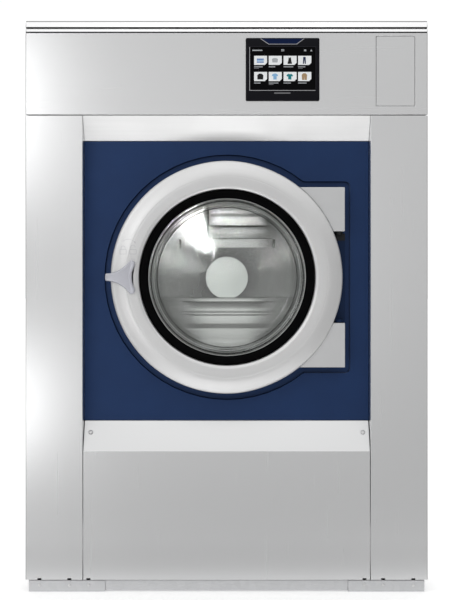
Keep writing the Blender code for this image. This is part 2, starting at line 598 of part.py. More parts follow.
def lifter_outline(turn, r_out, r_in, inset=0.0):
    """A rounded paddle's cross-section, following the drum wall at its foot."""
    outline = []
    for k in range(5):
        a = turn + (0.1500 - inset / r_out) * (k - 2) / 2
        outline.append((r_out * math.cos(a), r_out * math.sin(a)))
    for side, r in ((0.0270, r_in + 0.012), (0.0130, r_in), (-0.0130, r_in), (-0.0270, r_in + 0.012)):
        side -= math.copysign(inset * 0.8, side)
        outline.append((r * math.cos(turn) - side * math.sin(turn),
                        r * math.sin(turn) + side * math.cos(turn)))
    return [(DOOR_X + x, DOOR_Z + z) for x, z in outline]


lifters = []
for n in range(3):
    turn = math.radians(90 + 120 * n)
    lifter = prism("lifter_%d" % (n + 1), lifter_outline(turn, 0.3928, 0.3120), "Y",
                   -0.3500, 0.2500, POLISHED)
    # pressed sheet, open towards the drum wall
    cut(lifter, prism("cut_lifter_%d" % (n + 1), lifter_outline(turn, 0.3990, 0.3145, 0.0030), "Y",
                      -0.3475, 0.2475))
    lifters.append(lifter)
carry(drum_axis, drum_shell, drum_front, drum_back, hub, baffle, shaft, big_pulley, *lifters)

# ------------------------------------------------------------------ motor shaft
motor_axis = pivot("motor_axis", MOTOR[0], 0.0, MOTOR[1], tub_rest)
small_pulley = turned("motor_pulley",
                      [(0, 0.3853), (0.0150, 0.3853), (0.0150, 0.4200), (SMALL_PULLEY_R + 0.0, 0.4200),
                       (SMALL_PULLEY_R, 0.4600), (0, 0.4600)], 24, MOTOR, look=CAST)
carry(motor_axis, small_pulley)

bpy.context.view_layer.update()
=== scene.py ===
import json
import math

import bmesh
import bpy
from mathutils import Matrix, Vector


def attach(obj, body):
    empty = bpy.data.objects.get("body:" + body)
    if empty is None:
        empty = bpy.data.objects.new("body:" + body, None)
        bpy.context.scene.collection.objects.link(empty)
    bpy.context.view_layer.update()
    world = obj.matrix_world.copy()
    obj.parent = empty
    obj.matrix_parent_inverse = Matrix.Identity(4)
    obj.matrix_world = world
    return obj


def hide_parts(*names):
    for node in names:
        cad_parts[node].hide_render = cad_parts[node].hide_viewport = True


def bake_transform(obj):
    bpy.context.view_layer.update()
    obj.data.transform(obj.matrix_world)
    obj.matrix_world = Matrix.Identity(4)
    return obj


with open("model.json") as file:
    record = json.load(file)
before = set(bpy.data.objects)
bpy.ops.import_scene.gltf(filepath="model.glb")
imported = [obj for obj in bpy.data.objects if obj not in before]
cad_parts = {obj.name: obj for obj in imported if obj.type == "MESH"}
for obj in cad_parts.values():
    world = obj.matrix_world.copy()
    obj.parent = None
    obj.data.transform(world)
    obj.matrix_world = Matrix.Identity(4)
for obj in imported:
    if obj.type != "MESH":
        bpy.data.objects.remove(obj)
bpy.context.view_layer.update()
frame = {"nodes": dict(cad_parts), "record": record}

# ------------------------------------------------------------------ numbers shared with the CAD
HALF_W, HEIGHT = 0.5100, 1.4475
Y_FACE, Y_REAR, Y_PANEL = -0.5520, 0.5480, -0.5075
Z_SKIRT, Z_LOWER_TOP, Z_PANEL_BOT, Z_PANEL_TOP = 0.0300, 0.3565, 0.4312, 1.1472
Z_COLUMN_TOP, COLUMN_IN = 1.2085, 0.3655
DOOR_X, DOOR_Z = 0.0013, 0.7981
RING_R, RING_FRONT, RING_BACK = 0.2935, -0.5660, -0.5215
HINGE_X, HINGE_Y = 0.2865, -0.5300
HANDLE_X, HANDLE_Z = -0.2640, 0.7981
DRUM_R, DRUM_BACK_Y = 0.3975, 0.2560
DISPLAY = (0.0485, 0.2354, 1.2450, 1.4045)
SCREEN = (0.0599, 0.2248, 1.2728, 1.3809)
DRAWER = (0.3793, 0.4782, 1.2322, 1.4098)
PX = 0.002537  # metres of the front plane for one pixel of a 451 x 600 image


def px(x, y):
    """Front-plane place (x, z) of an image pixel."""
    return (x - 226.5) * PX, (591.7 - y) * PX


# ------------------------------------------------------------------ camera
cam_data = bpy.data.cameras.new("camera")
cam_data.lens = 87.5
cam_data.sensor_width = 36.0
cam_data.shift_y = -0.032
cam_data.clip_start, cam_data.clip_end = 0.05, 200.0
camera = bpy.data.objects.new("camera", cam_data)
bpy.context.scene.collection.objects.link(camera)
camera.location = (-0.0028, -4.2520, 0.7890)
camera.rotation_euler = (math.radians(90), 0, 0)
bpy.context.scene.camera = camera
bpy.context.scene.view_settings.view_transform = "Standard"
bpy.context.scene.view_settings.look = "None"


# ------------------------------------------------------------------ material helper
class Look:
    """A procedural material. Numbers that are the same all over go straight on the shader."""

    def __init__(self, name, colour, rough, metal=0.0, **fixed):
        self.m = bpy.data.materials.new(name)
        self.m.use_nodes = True
        self.t = self.m.node_tree
        self.b = self.t.nodes["Principled BSDF"]
        self.b.inputs["Base Color"].default_value = (*colour, 1.0)
        self.b.inputs["Roughness"].default_value = rough
        self.b.inputs["Metallic"].default_value = metal
        for k, v in fixed.items():
            self.b.inputs[k.replace("_", " ")].default_value = v
        self.where = self.node("ShaderNodeTexCoord").outputs["Object"]
        self.m.diffuse_color = (*colour, 1.0)

    def node(self, kind, **settings):
        n = self.t.nodes.new(kind)
        for k, v in settings.items():
            setattr(n, k, v)
        return n

    def link(self, a, b):
        self.t.links.new(a, b)

    def math(self, op, a, b=None, c=None):
        n = self.node("ShaderNodeMath", operation=op)
        for i, v in enumerate((a, b, c)):
            if v is None:
                continue
            if isinstance(v, (int, float)):
                n.inputs[i].default_value = v
            else:
                self.link(v, n.inputs[i])
        return n.outputs[0]

    def noise(self, scale, detail=3.0, rough=0.5):
        """Noise whose features are 1/scale metres along each axis."""
        m = self.node("ShaderNodeMapping")
        m.inputs["Scale"].default_value = scale if hasattr(scale, "__len__") else (scale,) * 3
        self.link(self.where, m.inputs["Vector"])
        n = self.node("ShaderNodeTexNoise")
        n.inputs["Scale"].default_value = 1.0
        n.inputs["Detail"].default_value = detail
        n.inputs["Roughness"].default_value = rough
        self.link(m.outputs[0], n.inputs["Vector"])
        return n.outputs["Fac"]

    def cells(self, scale, feature="F1"):
        m = self.node("ShaderNodeMapping")
        m.inputs["Scale"].default_value = (scale,) * 3
        self.link(self.where, m.inputs["Vector"])
        n = self.node("ShaderNodeTexVoronoi", feature=feature)
        n.inputs["Scale"].default_value = 1.0
        self.link(m.outputs[0], n.inputs["Vector"])
        return n

    def span(self, value, lo, hi, a=0.3, b=0.7):
        """value from a..b stretched to lo..hi."""
        n = self.node("ShaderNodeMapRange")
        n.inputs["From Min"].default_value = a
        n.inputs["From Max"].default_value = b
        n.inputs["To Min"].default_value = lo
        n.inputs["To Max"].default_value = hi
        self.link(value, n.inputs["Value"])
        return n.outputs["Result"]

    def tint(self, value, one, other, a=0.3, b=0.7):
        """Base colour between two colours."""
        n = self.node("ShaderNodeValToRGB")
        n.color_ramp.elements[0].position = a
        n.color_ramp.elements[0].color = (*one, 1)
        n.color_ramp.elements[1].position = b
        n.color_ramp.elements[1].color = (*other, 1)
        self.link(value, n.inputs["Fac"])
        self.link(n.outputs["Color"], self.b.inputs["Base Color"])
        return n.outputs["Color"]

    def roughen(self, value, lo, hi, a=0.3, b=0.7):
        self.link(self.span(value, lo, hi, a, b), self.b.inputs["Roughness"])

    def bump(self, value, strength, distance):
        n = self.node("ShaderNodeBump")
        n.inputs["Strength"].default_value = strength
        n.inputs["Distance"].default_value = distance
        self.link(value, n.inputs["Height"])
        old = self.b.inputs["Normal"]
        if old.is_linked:
            self.link(old.links[0].from_socket, n.inputs["Normal"])
        self.link(n.outputs["Normal"], old)


def shade(c, k):
    return tuple(min(1.0, v * k) for v in c)


def brushed(name, grain, colour=(0.86, 0.863, 0.868), rough=0.27, warp=0.0):
    """Sheet steel with a grain along one axis, in long faint streaks; painted shade darkens it close to
    the floor.
    """
    lk = Look(name, colour, rough, 1.0)
    wide = [190.0] * 3
    wide[grain] = 1.6
    w = lk.noise(wide, 3.0, 0.6)
    s = lk.node("ShaderNodeSeparateXYZ")
    lk.link(lk.where, s.inputs[0])
    # painted shade: the colour is painted darker towards the floor, mixed with the grain's faint streaks
    floor_shade_and_grain = lk.math("ADD", lk.span(s.outputs["Z"], 0.0, 0.95, 0.02, 0.13),
                   lk.math("MULTIPLY", w, 0.05))
    lk.tint(floor_shade_and_grain, shade(colour, 0.80), shade(colour, 1.002), 0.0, 1.0)
    lk.roughen(w, rough - 0.004, rough + 0.004)
    if warp:
        lk.bump(lk.noise(1.1, 1.0, 0.4), warp, 0.05)
    return lk.m


STEEL_V = brushed("brushed_steel_upright", 2)
STEEL_H = brushed("brushed_steel_level", 0)
STEEL_Y = brushed("brushed_steel_sides", 1)
# painted highlight: a paler copy of the panel steel, for the top's folded front edges
STEEL_EDGE_HIGHLIGHT = brushed("folded_steel_painted_highlight", 0, (0.975, 0.975, 0.98), 0.30)
# painted shade: a darker copy of the panel steel for faces that slope up
STEEL_SLOPE_SHADE = brushed("slope_steel_painted_shade", 0, (0.70, 0.703, 0.705), 0.30)
# painted shade: a darker copy of the steel for the top's flat face
STEEL_TOP_SHADE = brushed("top_steel_painted_shade", 1, (0.66, 0.663, 0.668), 0.30)


def pale_strip_steel():
    """Paler, half-matt steel of the slanted strip: painted light that brightens a strip facing down."""
    lk = Look("strip_steel_painted_light", (0.90, 0.90, 0.895), 0.42, 0.35)
    lk.tint(lk.noise((3.0, 120.0, 120.0), 3.0, 0.5), (0.885, 0.885, 0.88), (0.915, 0.915, 0.91))
    lk.roughen(lk.noise(8.0, 4.0, 0.55), 0.38, 0.46)
    lk.bump(lk.noise(1400.0, 2.0, 0.5), 0.03, 0.0003)
    return lk.m


STRIP_STEEL_LIT = pale_strip_steel()


def painted(name, colour, rough, metal=0.0, peel=0.05, mottle=0.03, fine=900.0, **fixed):
    """Powder or wet paint: orange peel, slight mottling, a little wear of the gloss."""
    lk = Look(name, colour, rough, metal, **fixed)
    m = lk.noise(14.0, 4.0, 0.6)
    lk.tint(m, shade(colour, 1 - mottle), shade(colour, 1 + mottle))
    lk.roughen(lk.noise(6.0, 4.0, 0.55), rough - 0.04, rough + 0.05)
    lk.bump(lk.noise(fine, 2.0, 0.5), peel, 0.0004)
    return lk.m


NAVY = painted("navy_satin_paint", (0.010, 0.034, 0.112), 0.46, peel=0.10, mottle=0.05,
               Specular_IOR_Level=0.22)
# painted shade: dark colour for the eased outer corners of the front
STEEL_CORNER_SHADE = painted("corner_painted_shade", (0.15, 0.15, 0.152), 0.75, peel=0.02, mottle=0.03,
                     Specular_IOR_Level=0.0)
# painted shade: grey for the front hem along the top edge
HEM_SHADE = painted("hem_painted_shade", (0.33, 0.33, 0.335), 0.70, peel=0.02, mottle=0.02,
                   Specular_IOR_Level=0.05)
# painted shade and painted highlight: darker and lighter copies of the navy for the pocket's walls
NAVY_POCKET_SHADE = painted("navy_pocket_painted_shade", (0.003, 0.009, 0.032), 0.50, peel=0.06, mottle=0.05,
                    Specular_IOR_Level=0.10)
NAVY_POCKET_HIGHLIGHT = painted("navy_pocket_painted_highlight", (0.045, 0.070, 0.135), 0.45, peel=0.06, mottle=0.05,
                   Specular_IOR_Level=0.30)
MARK_SILVER = painted("mark_silver", (0.60, 0.60, 0.61), 0.44, metal=0.80, peel=0.02, mottle=0.010,
                      fine=1800.0)
# painted shade: the navy darkened for the hinge bracket in the pocket
BRACKET_NAVY_SHADE = painted("bracket_navy_painted_shade", (0.0065, 0.020, 0.062), 0.50, peel=0.10, mottle=0.05,
                       Specular_IOR_Level=0.15)
SILVER = painted("silver_ring_paint", (0.73, 0.73, 0.73), 0.44, metal=0.80, peel=0.02, mottle=0.010,
                 fine=1800.0)
LEVER = painted("lever_paint", (0.55, 0.555, 0.605), 0.36, metal=0.35, peel=0.03, mottle=0.015,
                fine=1800.0)
HINGE_PAINT = painted("hinge_paint", (0.66, 0.665, 0.67), 0.40, metal=0.60, peel=0.05, mottle=0.02)
CHARCOAL = painted("charcoal_moulding", (0.0075, 0.0075, 0.0105), 0.45, peel=0.18, mottle=0.06,
                   fine=2600.0, Specular_IOR_Level=0.08)
GREY_PLASTIC = painted("grey_moulding", (0.36, 0.37, 0.38), 0.45, peel=0.12, mottle=0.02,
                       fine=1500.0)
HUB_PLASTIC = painted("hub_satin_cap", (0.89, 0.92, 0.89), 0.19, metal=0.90, peel=0.001, mottle=0.006)
DARK_STEEL = painted("black_oxide_steel", (0.016, 0.017, 0.018), 0.42, metal=0.6, peel=0.08,
                     mottle=0.12)
MOTOR_PAINT = painted("motor_enamel", (0.055, 0.075, 0.095), 0.42, peel=0.12, mottle=0.05)


def galvanised():
    """Zinc with its crystal flakes."""
    lk = Look("zinc_flake", (0.56, 0.57, 0.58), 0.42, 0.9)
    c = lk.cells(70.0)
    lk.tint(c.outputs["Color"], (0.56, 0.565, 0.575), (0.61, 0.615, 0.625), 0.1, 0.9)
    lk.roughen(c.outputs["Color"], 0.34, 0.46, 0.1, 0.9)
    lk.bump(lk.noise(240.0, 3.0, 0.6), 0.08, 0.0006)
    return lk.m


def cast():
    """As-cast metal, shot blasted."""
    lk = Look("cast_iron_grey", (0.16, 0.165, 0.17), 0.6, 0.7)
    lk.tint(lk.noise(45.0, 5.0, 0.65), (0.12, 0.125, 0.13), (0.21, 0.215, 0.22))
    lk.roughen(lk.noise(90.0, 3.0, 0.6), 0.5, 0.7)
    lk.bump(lk.noise(420.0, 4.0, 0.65), 0.35, 0.0015)
    return lk.m


def rubber(name="black_epdm", colour=(0.010, 0.010, 0.011)):
    lk = Look(name, colour, 0.5, 0.0)
    lk.b.inputs["Specular IOR Level"].default_value = 0.22
    lk.tint(lk.noise(30.0, 3.0, 0.6), shade(colour, 0.8), shade(colour, 1.5))
    lk.roughen(lk.noise(55.0, 3.0, 0.6), 0.42, 0.60)
    lk.bump(lk.noise(1300.0, 3.0, 0.6), 0.12, 0.0005)
    return lk.m


GALV, CAST, RUBBER = galvanised(), cast(), rubber()


def sealed():
    """The door seal's face: smooth, matt and very dark."""
    lk = Look("seal_face", (0.0015, 0.0015, 0.0018), 0.55)
    lk.b.inputs["Specular IOR Level"].default_value = 0.03
    lk.tint(lk.noise(40.0, 3.0, 0.6), (0.0010, 0.0010, 0.0012), (0.0022, 0.0022, 0.0025))
    lk.roughen(lk.noise(70.0, 3.0, 0.6), 0.52, 0.64)
    lk.bump(lk.noise(500.0, 2.0, 0.5), 0.010, 0.0003)
    return lk.m


SEAL = sealed()


def turning_grain(lk):
    """Grain that runs in circles round the drum's axis."""
    s = lk.node("ShaderNodeSeparateXYZ")
    lk.link(lk.node("ShaderNodeNewGeometry").outputs["Position"], s.inputs[0])
    c = lk.node("ShaderNodeCombineXYZ")
    lk.link(lk.math("SUBTRACT", s.outputs["Z"], DOOR_Z), c.inputs["X"])
    lk.link(lk.math("SUBTRACT", DOOR_X, s.outputs["X"]), c.inputs["Z"])
    lk.link(c.outputs[0], lk.b.inputs["Tangent"])


def spun(name, colour, rough, aniso, rings=900.0, grow=None):
    """Steel turned or brushed round the machine's axis, which runs along Y. With grow (radius, radius,
    share) its colour starts at that share and reaches full strength further out, a painted shade that
    darkens the middle."""
    lk = Look(name, colour, rough, 1.0, Anisotropic=aniso, Anisotropic_Rotation=0.25)
    turning_grain(lk)
    s = lk.node("ShaderNodeSeparateXYZ")
    lk.link(lk.where, s.inputs[0])
    dx = lk.math("SUBTRACT", s.outputs["X"], DOOR_X)
    dz = lk.math("SUBTRACT", s.outputs["Z"], DOOR_Z)
    r = lk.math("SQRT", lk.math("ADD", lk.math("MULTIPLY", dx, dx), lk.math("MULTIPLY", dz, dz)))
    c = lk.node("ShaderNodeCombineXYZ")
    lk.link(lk.math("MULTIPLY", r, rings), c.inputs["X"])
    lk.link(lk.math("MULTIPLY", s.outputs["Y"], rings), c.inputs["Y"])
    n = lk.node("ShaderNodeTexNoise")
    n.inputs["Scale"].default_value = 1.0
    n.inputs["Detail"].default_value = 2.0
    lk.link(c.outputs[0], n.inputs["Vector"])
    if grow:
        out = lk.math("ADD", lk.span(r, 0.0, 0.94, grow[0], grow[1]),
                      lk.math("MULTIPLY", n.outputs["Fac"], 0.06))
        lk.tint(out, shade(colour, grow[2]), colour, 0.0, 1.0)
    else:
        lk.tint(n.outputs["Fac"], shade(colour, 0.93), shade(colour, 1.05))
    lk.roughen(lk.noise(9.0, 3.0, 0.5), rough - 0.02, rough + 0.03)
    return lk


# painted shade: the drum's back is painted darker towards the hub
DRUM_BACK_STEEL = spun("drum_back_steel", (0.70, 0.70, 0.69), 0.25, 1.0,
                       grow=(0.06, 0.19, 0.34)).m
TUB_STEEL = spun("tub_steel", (0.58, 0.585, 0.59), 0.38, 0.4, 300.0).m


def perforated():
    """Drum wall: staggered rows of pressed holes, counted round the drum and along it."""
    lk = spun("drum_wall_steel", (0.80, 0.80, 0.79), 0.30, 0.5, 500.0)
    s = lk.node("ShaderNodeSeparateXYZ")
    lk.link(lk.where, s.inputs[0])
    dx = lk.math("SUBTRACT", s.outputs["X"], DOOR_X)
    dz = lk.math("SUBTRACT", s.outputs["Z"], DOOR_Z)
    turn = lk.math("ARCTAN2", dz, dx)
    u = lk.math("MULTIPLY", turn, 180 / (2 * math.pi))
    v = lk.math("MULTIPLY", s.outputs["Y"], 1 / 0.0125)
    row = lk.math("FLOOR", v)
    u = lk.math("ADD", u, lk.math("MULTIPLY", row, 0.5))
    fu = lk.math("SUBTRACT", lk.math("FRACT", u), 0.5)
    fv = lk.math("SUBTRACT", lk.math("FRACT", v), 0.5)
    d = lk.math("SQRT", lk.math("ADD", lk.math("MULTIPLY", fu, fu), lk.math("MULTIPLY", fv, fv)))
    hole = lk.span(d, 0.0, 1.0, 0.14, 0.19)
    rim = lk.span(d, 0.0, 1.0, 0.19, 0.34)
    # painted shade: the holes are painted near black for the dark seen through them
    lk.tint(hole, (0.010, 0.010, 0.010), (0.80, 0.80, 0.79), 0.3, 0.7)
    lk.bump(lk.math("MULTIPLY", rim, hole), 0.5, 0.0015)
    return lk.m


DRUM_WALL = perforated()


def polished(name, colour=(0.76, 0.76, 0.755), rough=0.24):
    lk = Look(name, colour, rough, 1.0)
    lk.tint(lk.noise(25.0, 4.0, 0.6), shade(colour, 0.95), shade(colour, 1.04))
    lk.roughen(lk.noise((260.0, 18.0, 260.0), 3.0, 0.6), rough - 0.05, rough + 0.06)
    lk.bump(lk.noise(700.0, 2.0, 0.5), 0.04, 0.0003)
    return lk.m


POLISHED = polished("polished_steel")
BRIGHT = polished("bright_zinc_screw", (0.70, 0.70, 0.70), 0.30)


def cross_brushed(name, middle, lo, hi, side_shade, colour=(0.88, 0.88, 0.865), rough=0.23):
    """Pressed steel, brushed across in its middle and turned round the axis at its sides; its colour is
    painted dimmer towards the sides, a painted shade.
    """
    lk = Look(name, colour, 0.22, 1.0, Anisotropic_Rotation=0.25)
    turning_grain(lk)
    s = lk.node("ShaderNodeSeparateXYZ")
    lk.link(lk.where, s.inputs[0])
    out = lk.math("ABSOLUTE", lk.math("SUBTRACT", s.outputs["X"], middle))
    lk.link(lk.span(out, 0.0, 1.0, lo, hi), lk.b.inputs["Anisotropic"])
    # painted shade: the colour is painted dimmer away from the middle, fading the bright bands
    side = lk.span(out, 1.0, 0.0, lo, hi)
    streak = lk.math("MULTIPLY", lk.noise((2.0, 60.0, 60.0), 3.0, 0.5), 0.12)
    lk.tint(lk.math("ADD", lk.math("MULTIPLY", side, 0.88), streak), shade(colour, side_shade), colour,
            0.0, 1.0)
    lk.link(lk.span(out, rough, 0.26, lo, hi), lk.b.inputs["Roughness"])
    lk.bump(lk.noise((4.0, 1200.0, 1200.0), 2.0, 0.6), 0.01, 0.0004)
    return lk.m


RIBBED = cross_brushed("ribbed_plate_steel", DOOR_X, 0.055, 0.175, 0.60)
RIBBED_HIGH = cross_brushed("upper_ribs_steel", DOOR_X + 0.046, 0.045, 0.095, 0.95,
                            (0.64, 0.64, 0.63), 0.18)


def window_glass():
    """Pressed door glass: clear, with reflection that grows towards grazing sight."""
    m = bpy.data.materials.new("window_glass")
    m.use_nodes = True
    t = m.node_tree
    t.nodes.clear()
    out = t.nodes.new("ShaderNodeOutputMaterial")
    mix = t.nodes.new("ShaderNodeMixShader")
    clear = t.nodes.new("ShaderNodeBsdfTransparent")
    gloss = t.nodes.new("ShaderNodeBsdfGlossy")
    fres = t.nodes.new("ShaderNodeFresnel")
    coord = t.nodes.new("ShaderNodeTexCoord")
    noise = t.nodes.new("ShaderNodeTexNoise")
    bump = t.nodes.new("ShaderNodeBump")
    clear.inputs["Color"].default_value = (0.965, 0.975, 0.970, 1)
    gloss.inputs["Color"].default_value = (1, 1, 1, 1)
    gloss.inputs["Roughness"].default_value = 0.02
    fres.inputs["IOR"].default_value = 1.5
    noise.inputs["Scale"].default_value = 9.0
    bump.inputs["Strength"].default_value = 0.05
    bump.inputs["Distance"].default_value = 0.004
    t.links.new(coord.outputs["Object"], noise.inputs["Vector"])
    t.links.new(noise.outputs["Fac"], bump.inputs["Height"])
    t.links.new(bump.outputs["Normal"], gloss.inputs["Normal"])
    t.links.new(bump.outputs["Normal"], fres.inputs["Normal"])
    geo = t.nodes.new("ShaderNodeNewGeometry")
    flip = t.nodes.new("ShaderNodeMath")
    flip.operation = "SUBTRACT"
    flip.inputs[0].default_value = 1.0
    t.links.new(geo.outputs["Backfacing"], flip.inputs[1])
    once = t.nodes.new("ShaderNodeMath")
    once.operation = "MULTIPLY"
    t.links.new(fres.outputs["Fac"], once.inputs[0])
    t.links.new(flip.outputs[0], once.inputs[1])
    t.links.new(once.outputs[0], mix.inputs["Fac"])
    t.links.new(clear.outputs[0], mix.inputs[1])
    t.links.new(gloss.outputs[0], mix.inputs[2])
    t.links.new(mix.outputs[0], out.inputs["Surface"])
    return m


GLASS = window_glass()


def bend_shade():
    """Dark line where the glass bowl turns into its floor: painted shade."""
    lk = Look("bowl_bend_painted_shade", (0.02, 0.021, 0.02), 0.25)
    lk.tint(lk.noise(60.0, 2.0, 0.5), (0.015, 0.016, 0.015), (0.035, 0.036, 0.034))
    lk.roughen(lk.noise(80.0, 2.0, 0.5), 0.20, 0.32)
    return lk.m


BEND_SHADE = bend_shade()


def ring_reflection():
    """Pale metallic colour for thin rings on the glass bowl: painted reflection."""
    lk = Look("glass_ring_painted_reflection", (0.72, 0.73, 0.72), 0.35, 0.6)
    lk.tint(lk.noise(60.0, 2.0, 0.5), (0.68, 0.69, 0.68), (0.76, 0.77, 0.76))
    lk.roughen(lk.noise(80.0, 2.0, 0.5), 0.30, 0.40)
    return lk.m


RING_REFLECTION = ring_reflection()


def screen_glass():
    lk = Look("screen_glass", (0.002, 0.002, 0.0025), 0.10)
    lk.b.inputs["Specular IOR Level"].default_value = 0.06
    lk.tint(lk.noise(20.0, 3.0, 0.5), (0.0010, 0.0010, 0.0014), (0.0022, 0.0022, 0.0028))
    lk.roughen(lk.noise(35.0, 4.0, 0.6), 0.07, 0.16)
    return lk.m


SCREEN_GLASS = screen_glass()


def ink(name, colour, glow=0.0):
    """A lit patch of the screen, with the slight unevenness of its backlight."""
    lk = Look(name, colour, 0.30)
    lk.b.inputs["Specular IOR Level"].default_value = 0.25
    c = lk.tint(lk.noise(60.0, 2.0, 0.5), shade(colour, 0.95), shade(colour, 1.03))
    if glow:
        lk.link(c, lk.b.inputs["Emission Color"])
        lk.b.inputs["Emission Strength"].default_value = glow
    lk.roughen(lk.noise(120.0, 2.0, 0.5), 0.26, 0.36)
    return lk.m


INK_WHITE = ink("screen_white", (0.80, 0.82, 0.83), 0.16)
INK_PALE = ink("screen_pale_grey", (0.42, 0.44, 0.46), 0.08)
INK_DIM = ink("screen_dim_grey", (0.16, 0.16, 0.17), 0.05)
INK_BLUE = ink("screen_blue", (0.04, 0.17, 0.50))
INK_SKY = ink("screen_sky_blue", (0.28, 0.52, 0.80))
INK_NAVY = ink("screen_navy", (0.012, 0.025, 0.085))
INK_DARK = ink("screen_black", (0.008, 0.008, 0.009))
INK_TEAL = ink("screen_teal", (0.01, 0.22, 0.25))
INK_TAN = ink("screen_tan", (0.42, 0.28, 0.15))
BEZEL_LINE = painted("bezel_line", (0.50, 0.50, 0.52), 0.30, metal=0.5, peel=0.03)
# painted shade: the dark copy of the screen line
LINE_SHADE = painted("bezel_line_painted_shade", (0.022, 0.022, 0.028), 0.40, peel=0.03,
                    Specular_IOR_Level=0.1)
BADGE = painted("badge_navy", (0.006, 0.014, 0.055), 0.40, peel=0.03, Specular_IOR_Level=0.06)


# ------------------------------------------------------------------ shape helpers
def finish_mesh(name, bm, body, looks, angle=30.0, replaces=None, clean=True,
                weighted=False):
    """bmesh to an object that rides on a body."""
    if clean:
        bmesh.ops.recalc_face_normals(bm, faces=bm.faces[:])
    me = bpy.data.meshes.new(name)
    bm.to_mesh(me)
    bm.free()
    ob = bpy.data.objects.new(name, me)
    bpy.context.scene.collection.objects.link(ob)
    for m in looks if isinstance(looks, (list, tuple)) else [looks]:
        me.materials.append(m)
    me.shade_smooth()
    me.set_sharp_from_angle(angle=math.radians(angle))
    if weighted:
        mod = ob.modifiers.new("face_weight", "WEIGHTED_NORMAL")
        mod.keep_sharp, mod.weight = True, 100
    if body:
        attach(ob, body)
    if replaces:
        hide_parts(*([replaces] if isinstance(replaces, str) else replaces))
    return ob


def soften(points, radius, steps=4, closed=True):
    """Rounds the corners of a 2D outline. radius is one number or one per point."""
    out, n = [], len(points)
    for i, p in enumerate(points):
        r = radius[i] if hasattr(radius, "__len__") else radius
        if r <= 0 or (not closed and i in (0, n - 1)):
            out.append(tuple(p))
            continue
        p, a, b = Vector(p), Vector(points[i - 1]), Vector(points[(i + 1) % n])
        la, lb = (a - p).length, (b - p).length
        p0 = p + (a - p) * min(r / la, 0.48)
        p2 = p + (b - p) * min(r / lb, 0.48)
        for k in range(steps + 1):
            t = k / steps
            out.append(tuple(p0 * (1 - t) ** 2 + p * 2 * t * (1 - t) + p2 * t ** 2))
    return out


def lathe_bm(profile, steps, centre=(DOOR_X, DOOR_Z), axis="Y", picks=None):
    """Turned solid: profile (radius, place along the axis), closed. picks: material per segment."""
    bm = bmesh.new()

    def at(r, p, a):
        u, v = centre[0] + r * math.cos(a), centre[1] + r * math.sin(a)
        return {"Y": (u, p, v), "Z": (u, v, p), "X": (p, u, v)}[axis]

    rings = []
    for r, p in profile:
        if r < 1e-7:
            rings.append([bm.verts.new(at(0, p, 0))] * steps)
        else:
            rings.append([bm.verts.new(at(r, p, 2 * math.pi * k / steps)) for k in range(steps)])
    n = len(profile)
    for i in range(n):
        a, b = rings[i], rings[(i + 1) % n]
        for k in range(steps):
            q = (k + 1) % steps
            vs = []
            for v in (a[k], a[q], b[q], b[k]):
                if v not in vs:
                    vs.append(v)
            if len(vs) > 2:
                f = bm.faces.new(vs)
                if picks:
                    f.material_index = picks[i]
    return bm


def lathe(name, profile, steps, body, looks, centre=(DOOR_X, DOOR_Z), axis="Y", angle=30.0,
          replaces=None, picks=None):
    return finish_mesh(name, lathe_bm(profile, steps, centre, axis, picks), body, looks, angle,
                       replaces)


def slab_bm(outline, y0, y1, bm=None, index=0):
    """Closed plate: 2D outline in (x, z) between two places along Y."""
    bm = bm or bmesh.new()
    a = [bm.verts.new((x, y0, z)) for x, z in outline]
    b = [bm.verts.new((x, y1, z)) for x, z in outline]
    faces = [bm.faces.new(a), bm.faces.new(b[::-1])]
    for i in range(len(a)):
        j = (i + 1) % len(a)
        faces.append(bm.faces.new((a[j], a[i], b[i], b[j])))
    for f in faces:
        f.material_index = index
    return bm


def rounded_rect(x0, x1, z0, z1, r, steps=4):
    pts = []
    for cx, cz, a0 in ((x1 - r, z1 - r, 0), (x0 + r, z1 - r, 90), (x0 + r, z0 + r, 180),
                       (x1 - r, z0 + r, 270)):
        for k in range(steps + 1):
            a = math.radians(a0 + 90 * k / steps)
            pts.append((cx + r * math.cos(a), cz + r * math.sin(a)))
    return pts


def loops_bm(loops, cap_first=True, cap_last=True, closed=False, bm=None, index=0):
    """Skin between loops of 3D points that have the same count."""
    bm = bm or bmesh.new()
    rows = [[bm.verts.new(p) for p in loop] for loop in loops]
    faces = []
    pairs = list(zip(rows, rows[1:]))
    if closed:
        pairs.append((rows[-1], rows[0]))
    for a, b in pairs:
        for i in range(len(a)):
            j = (i + 1) % len(a)
            faces.append(bm.faces.new((a[i], a[j], b[j], b[i])))
    if cap_first and not closed:
        faces.append(bm.faces.new(rows[0][::-1]))
    if cap_last and not closed:
        faces.append(bm.faces.new(rows[-1]))
    for f in faces:
        f.material_index = index
    return bm


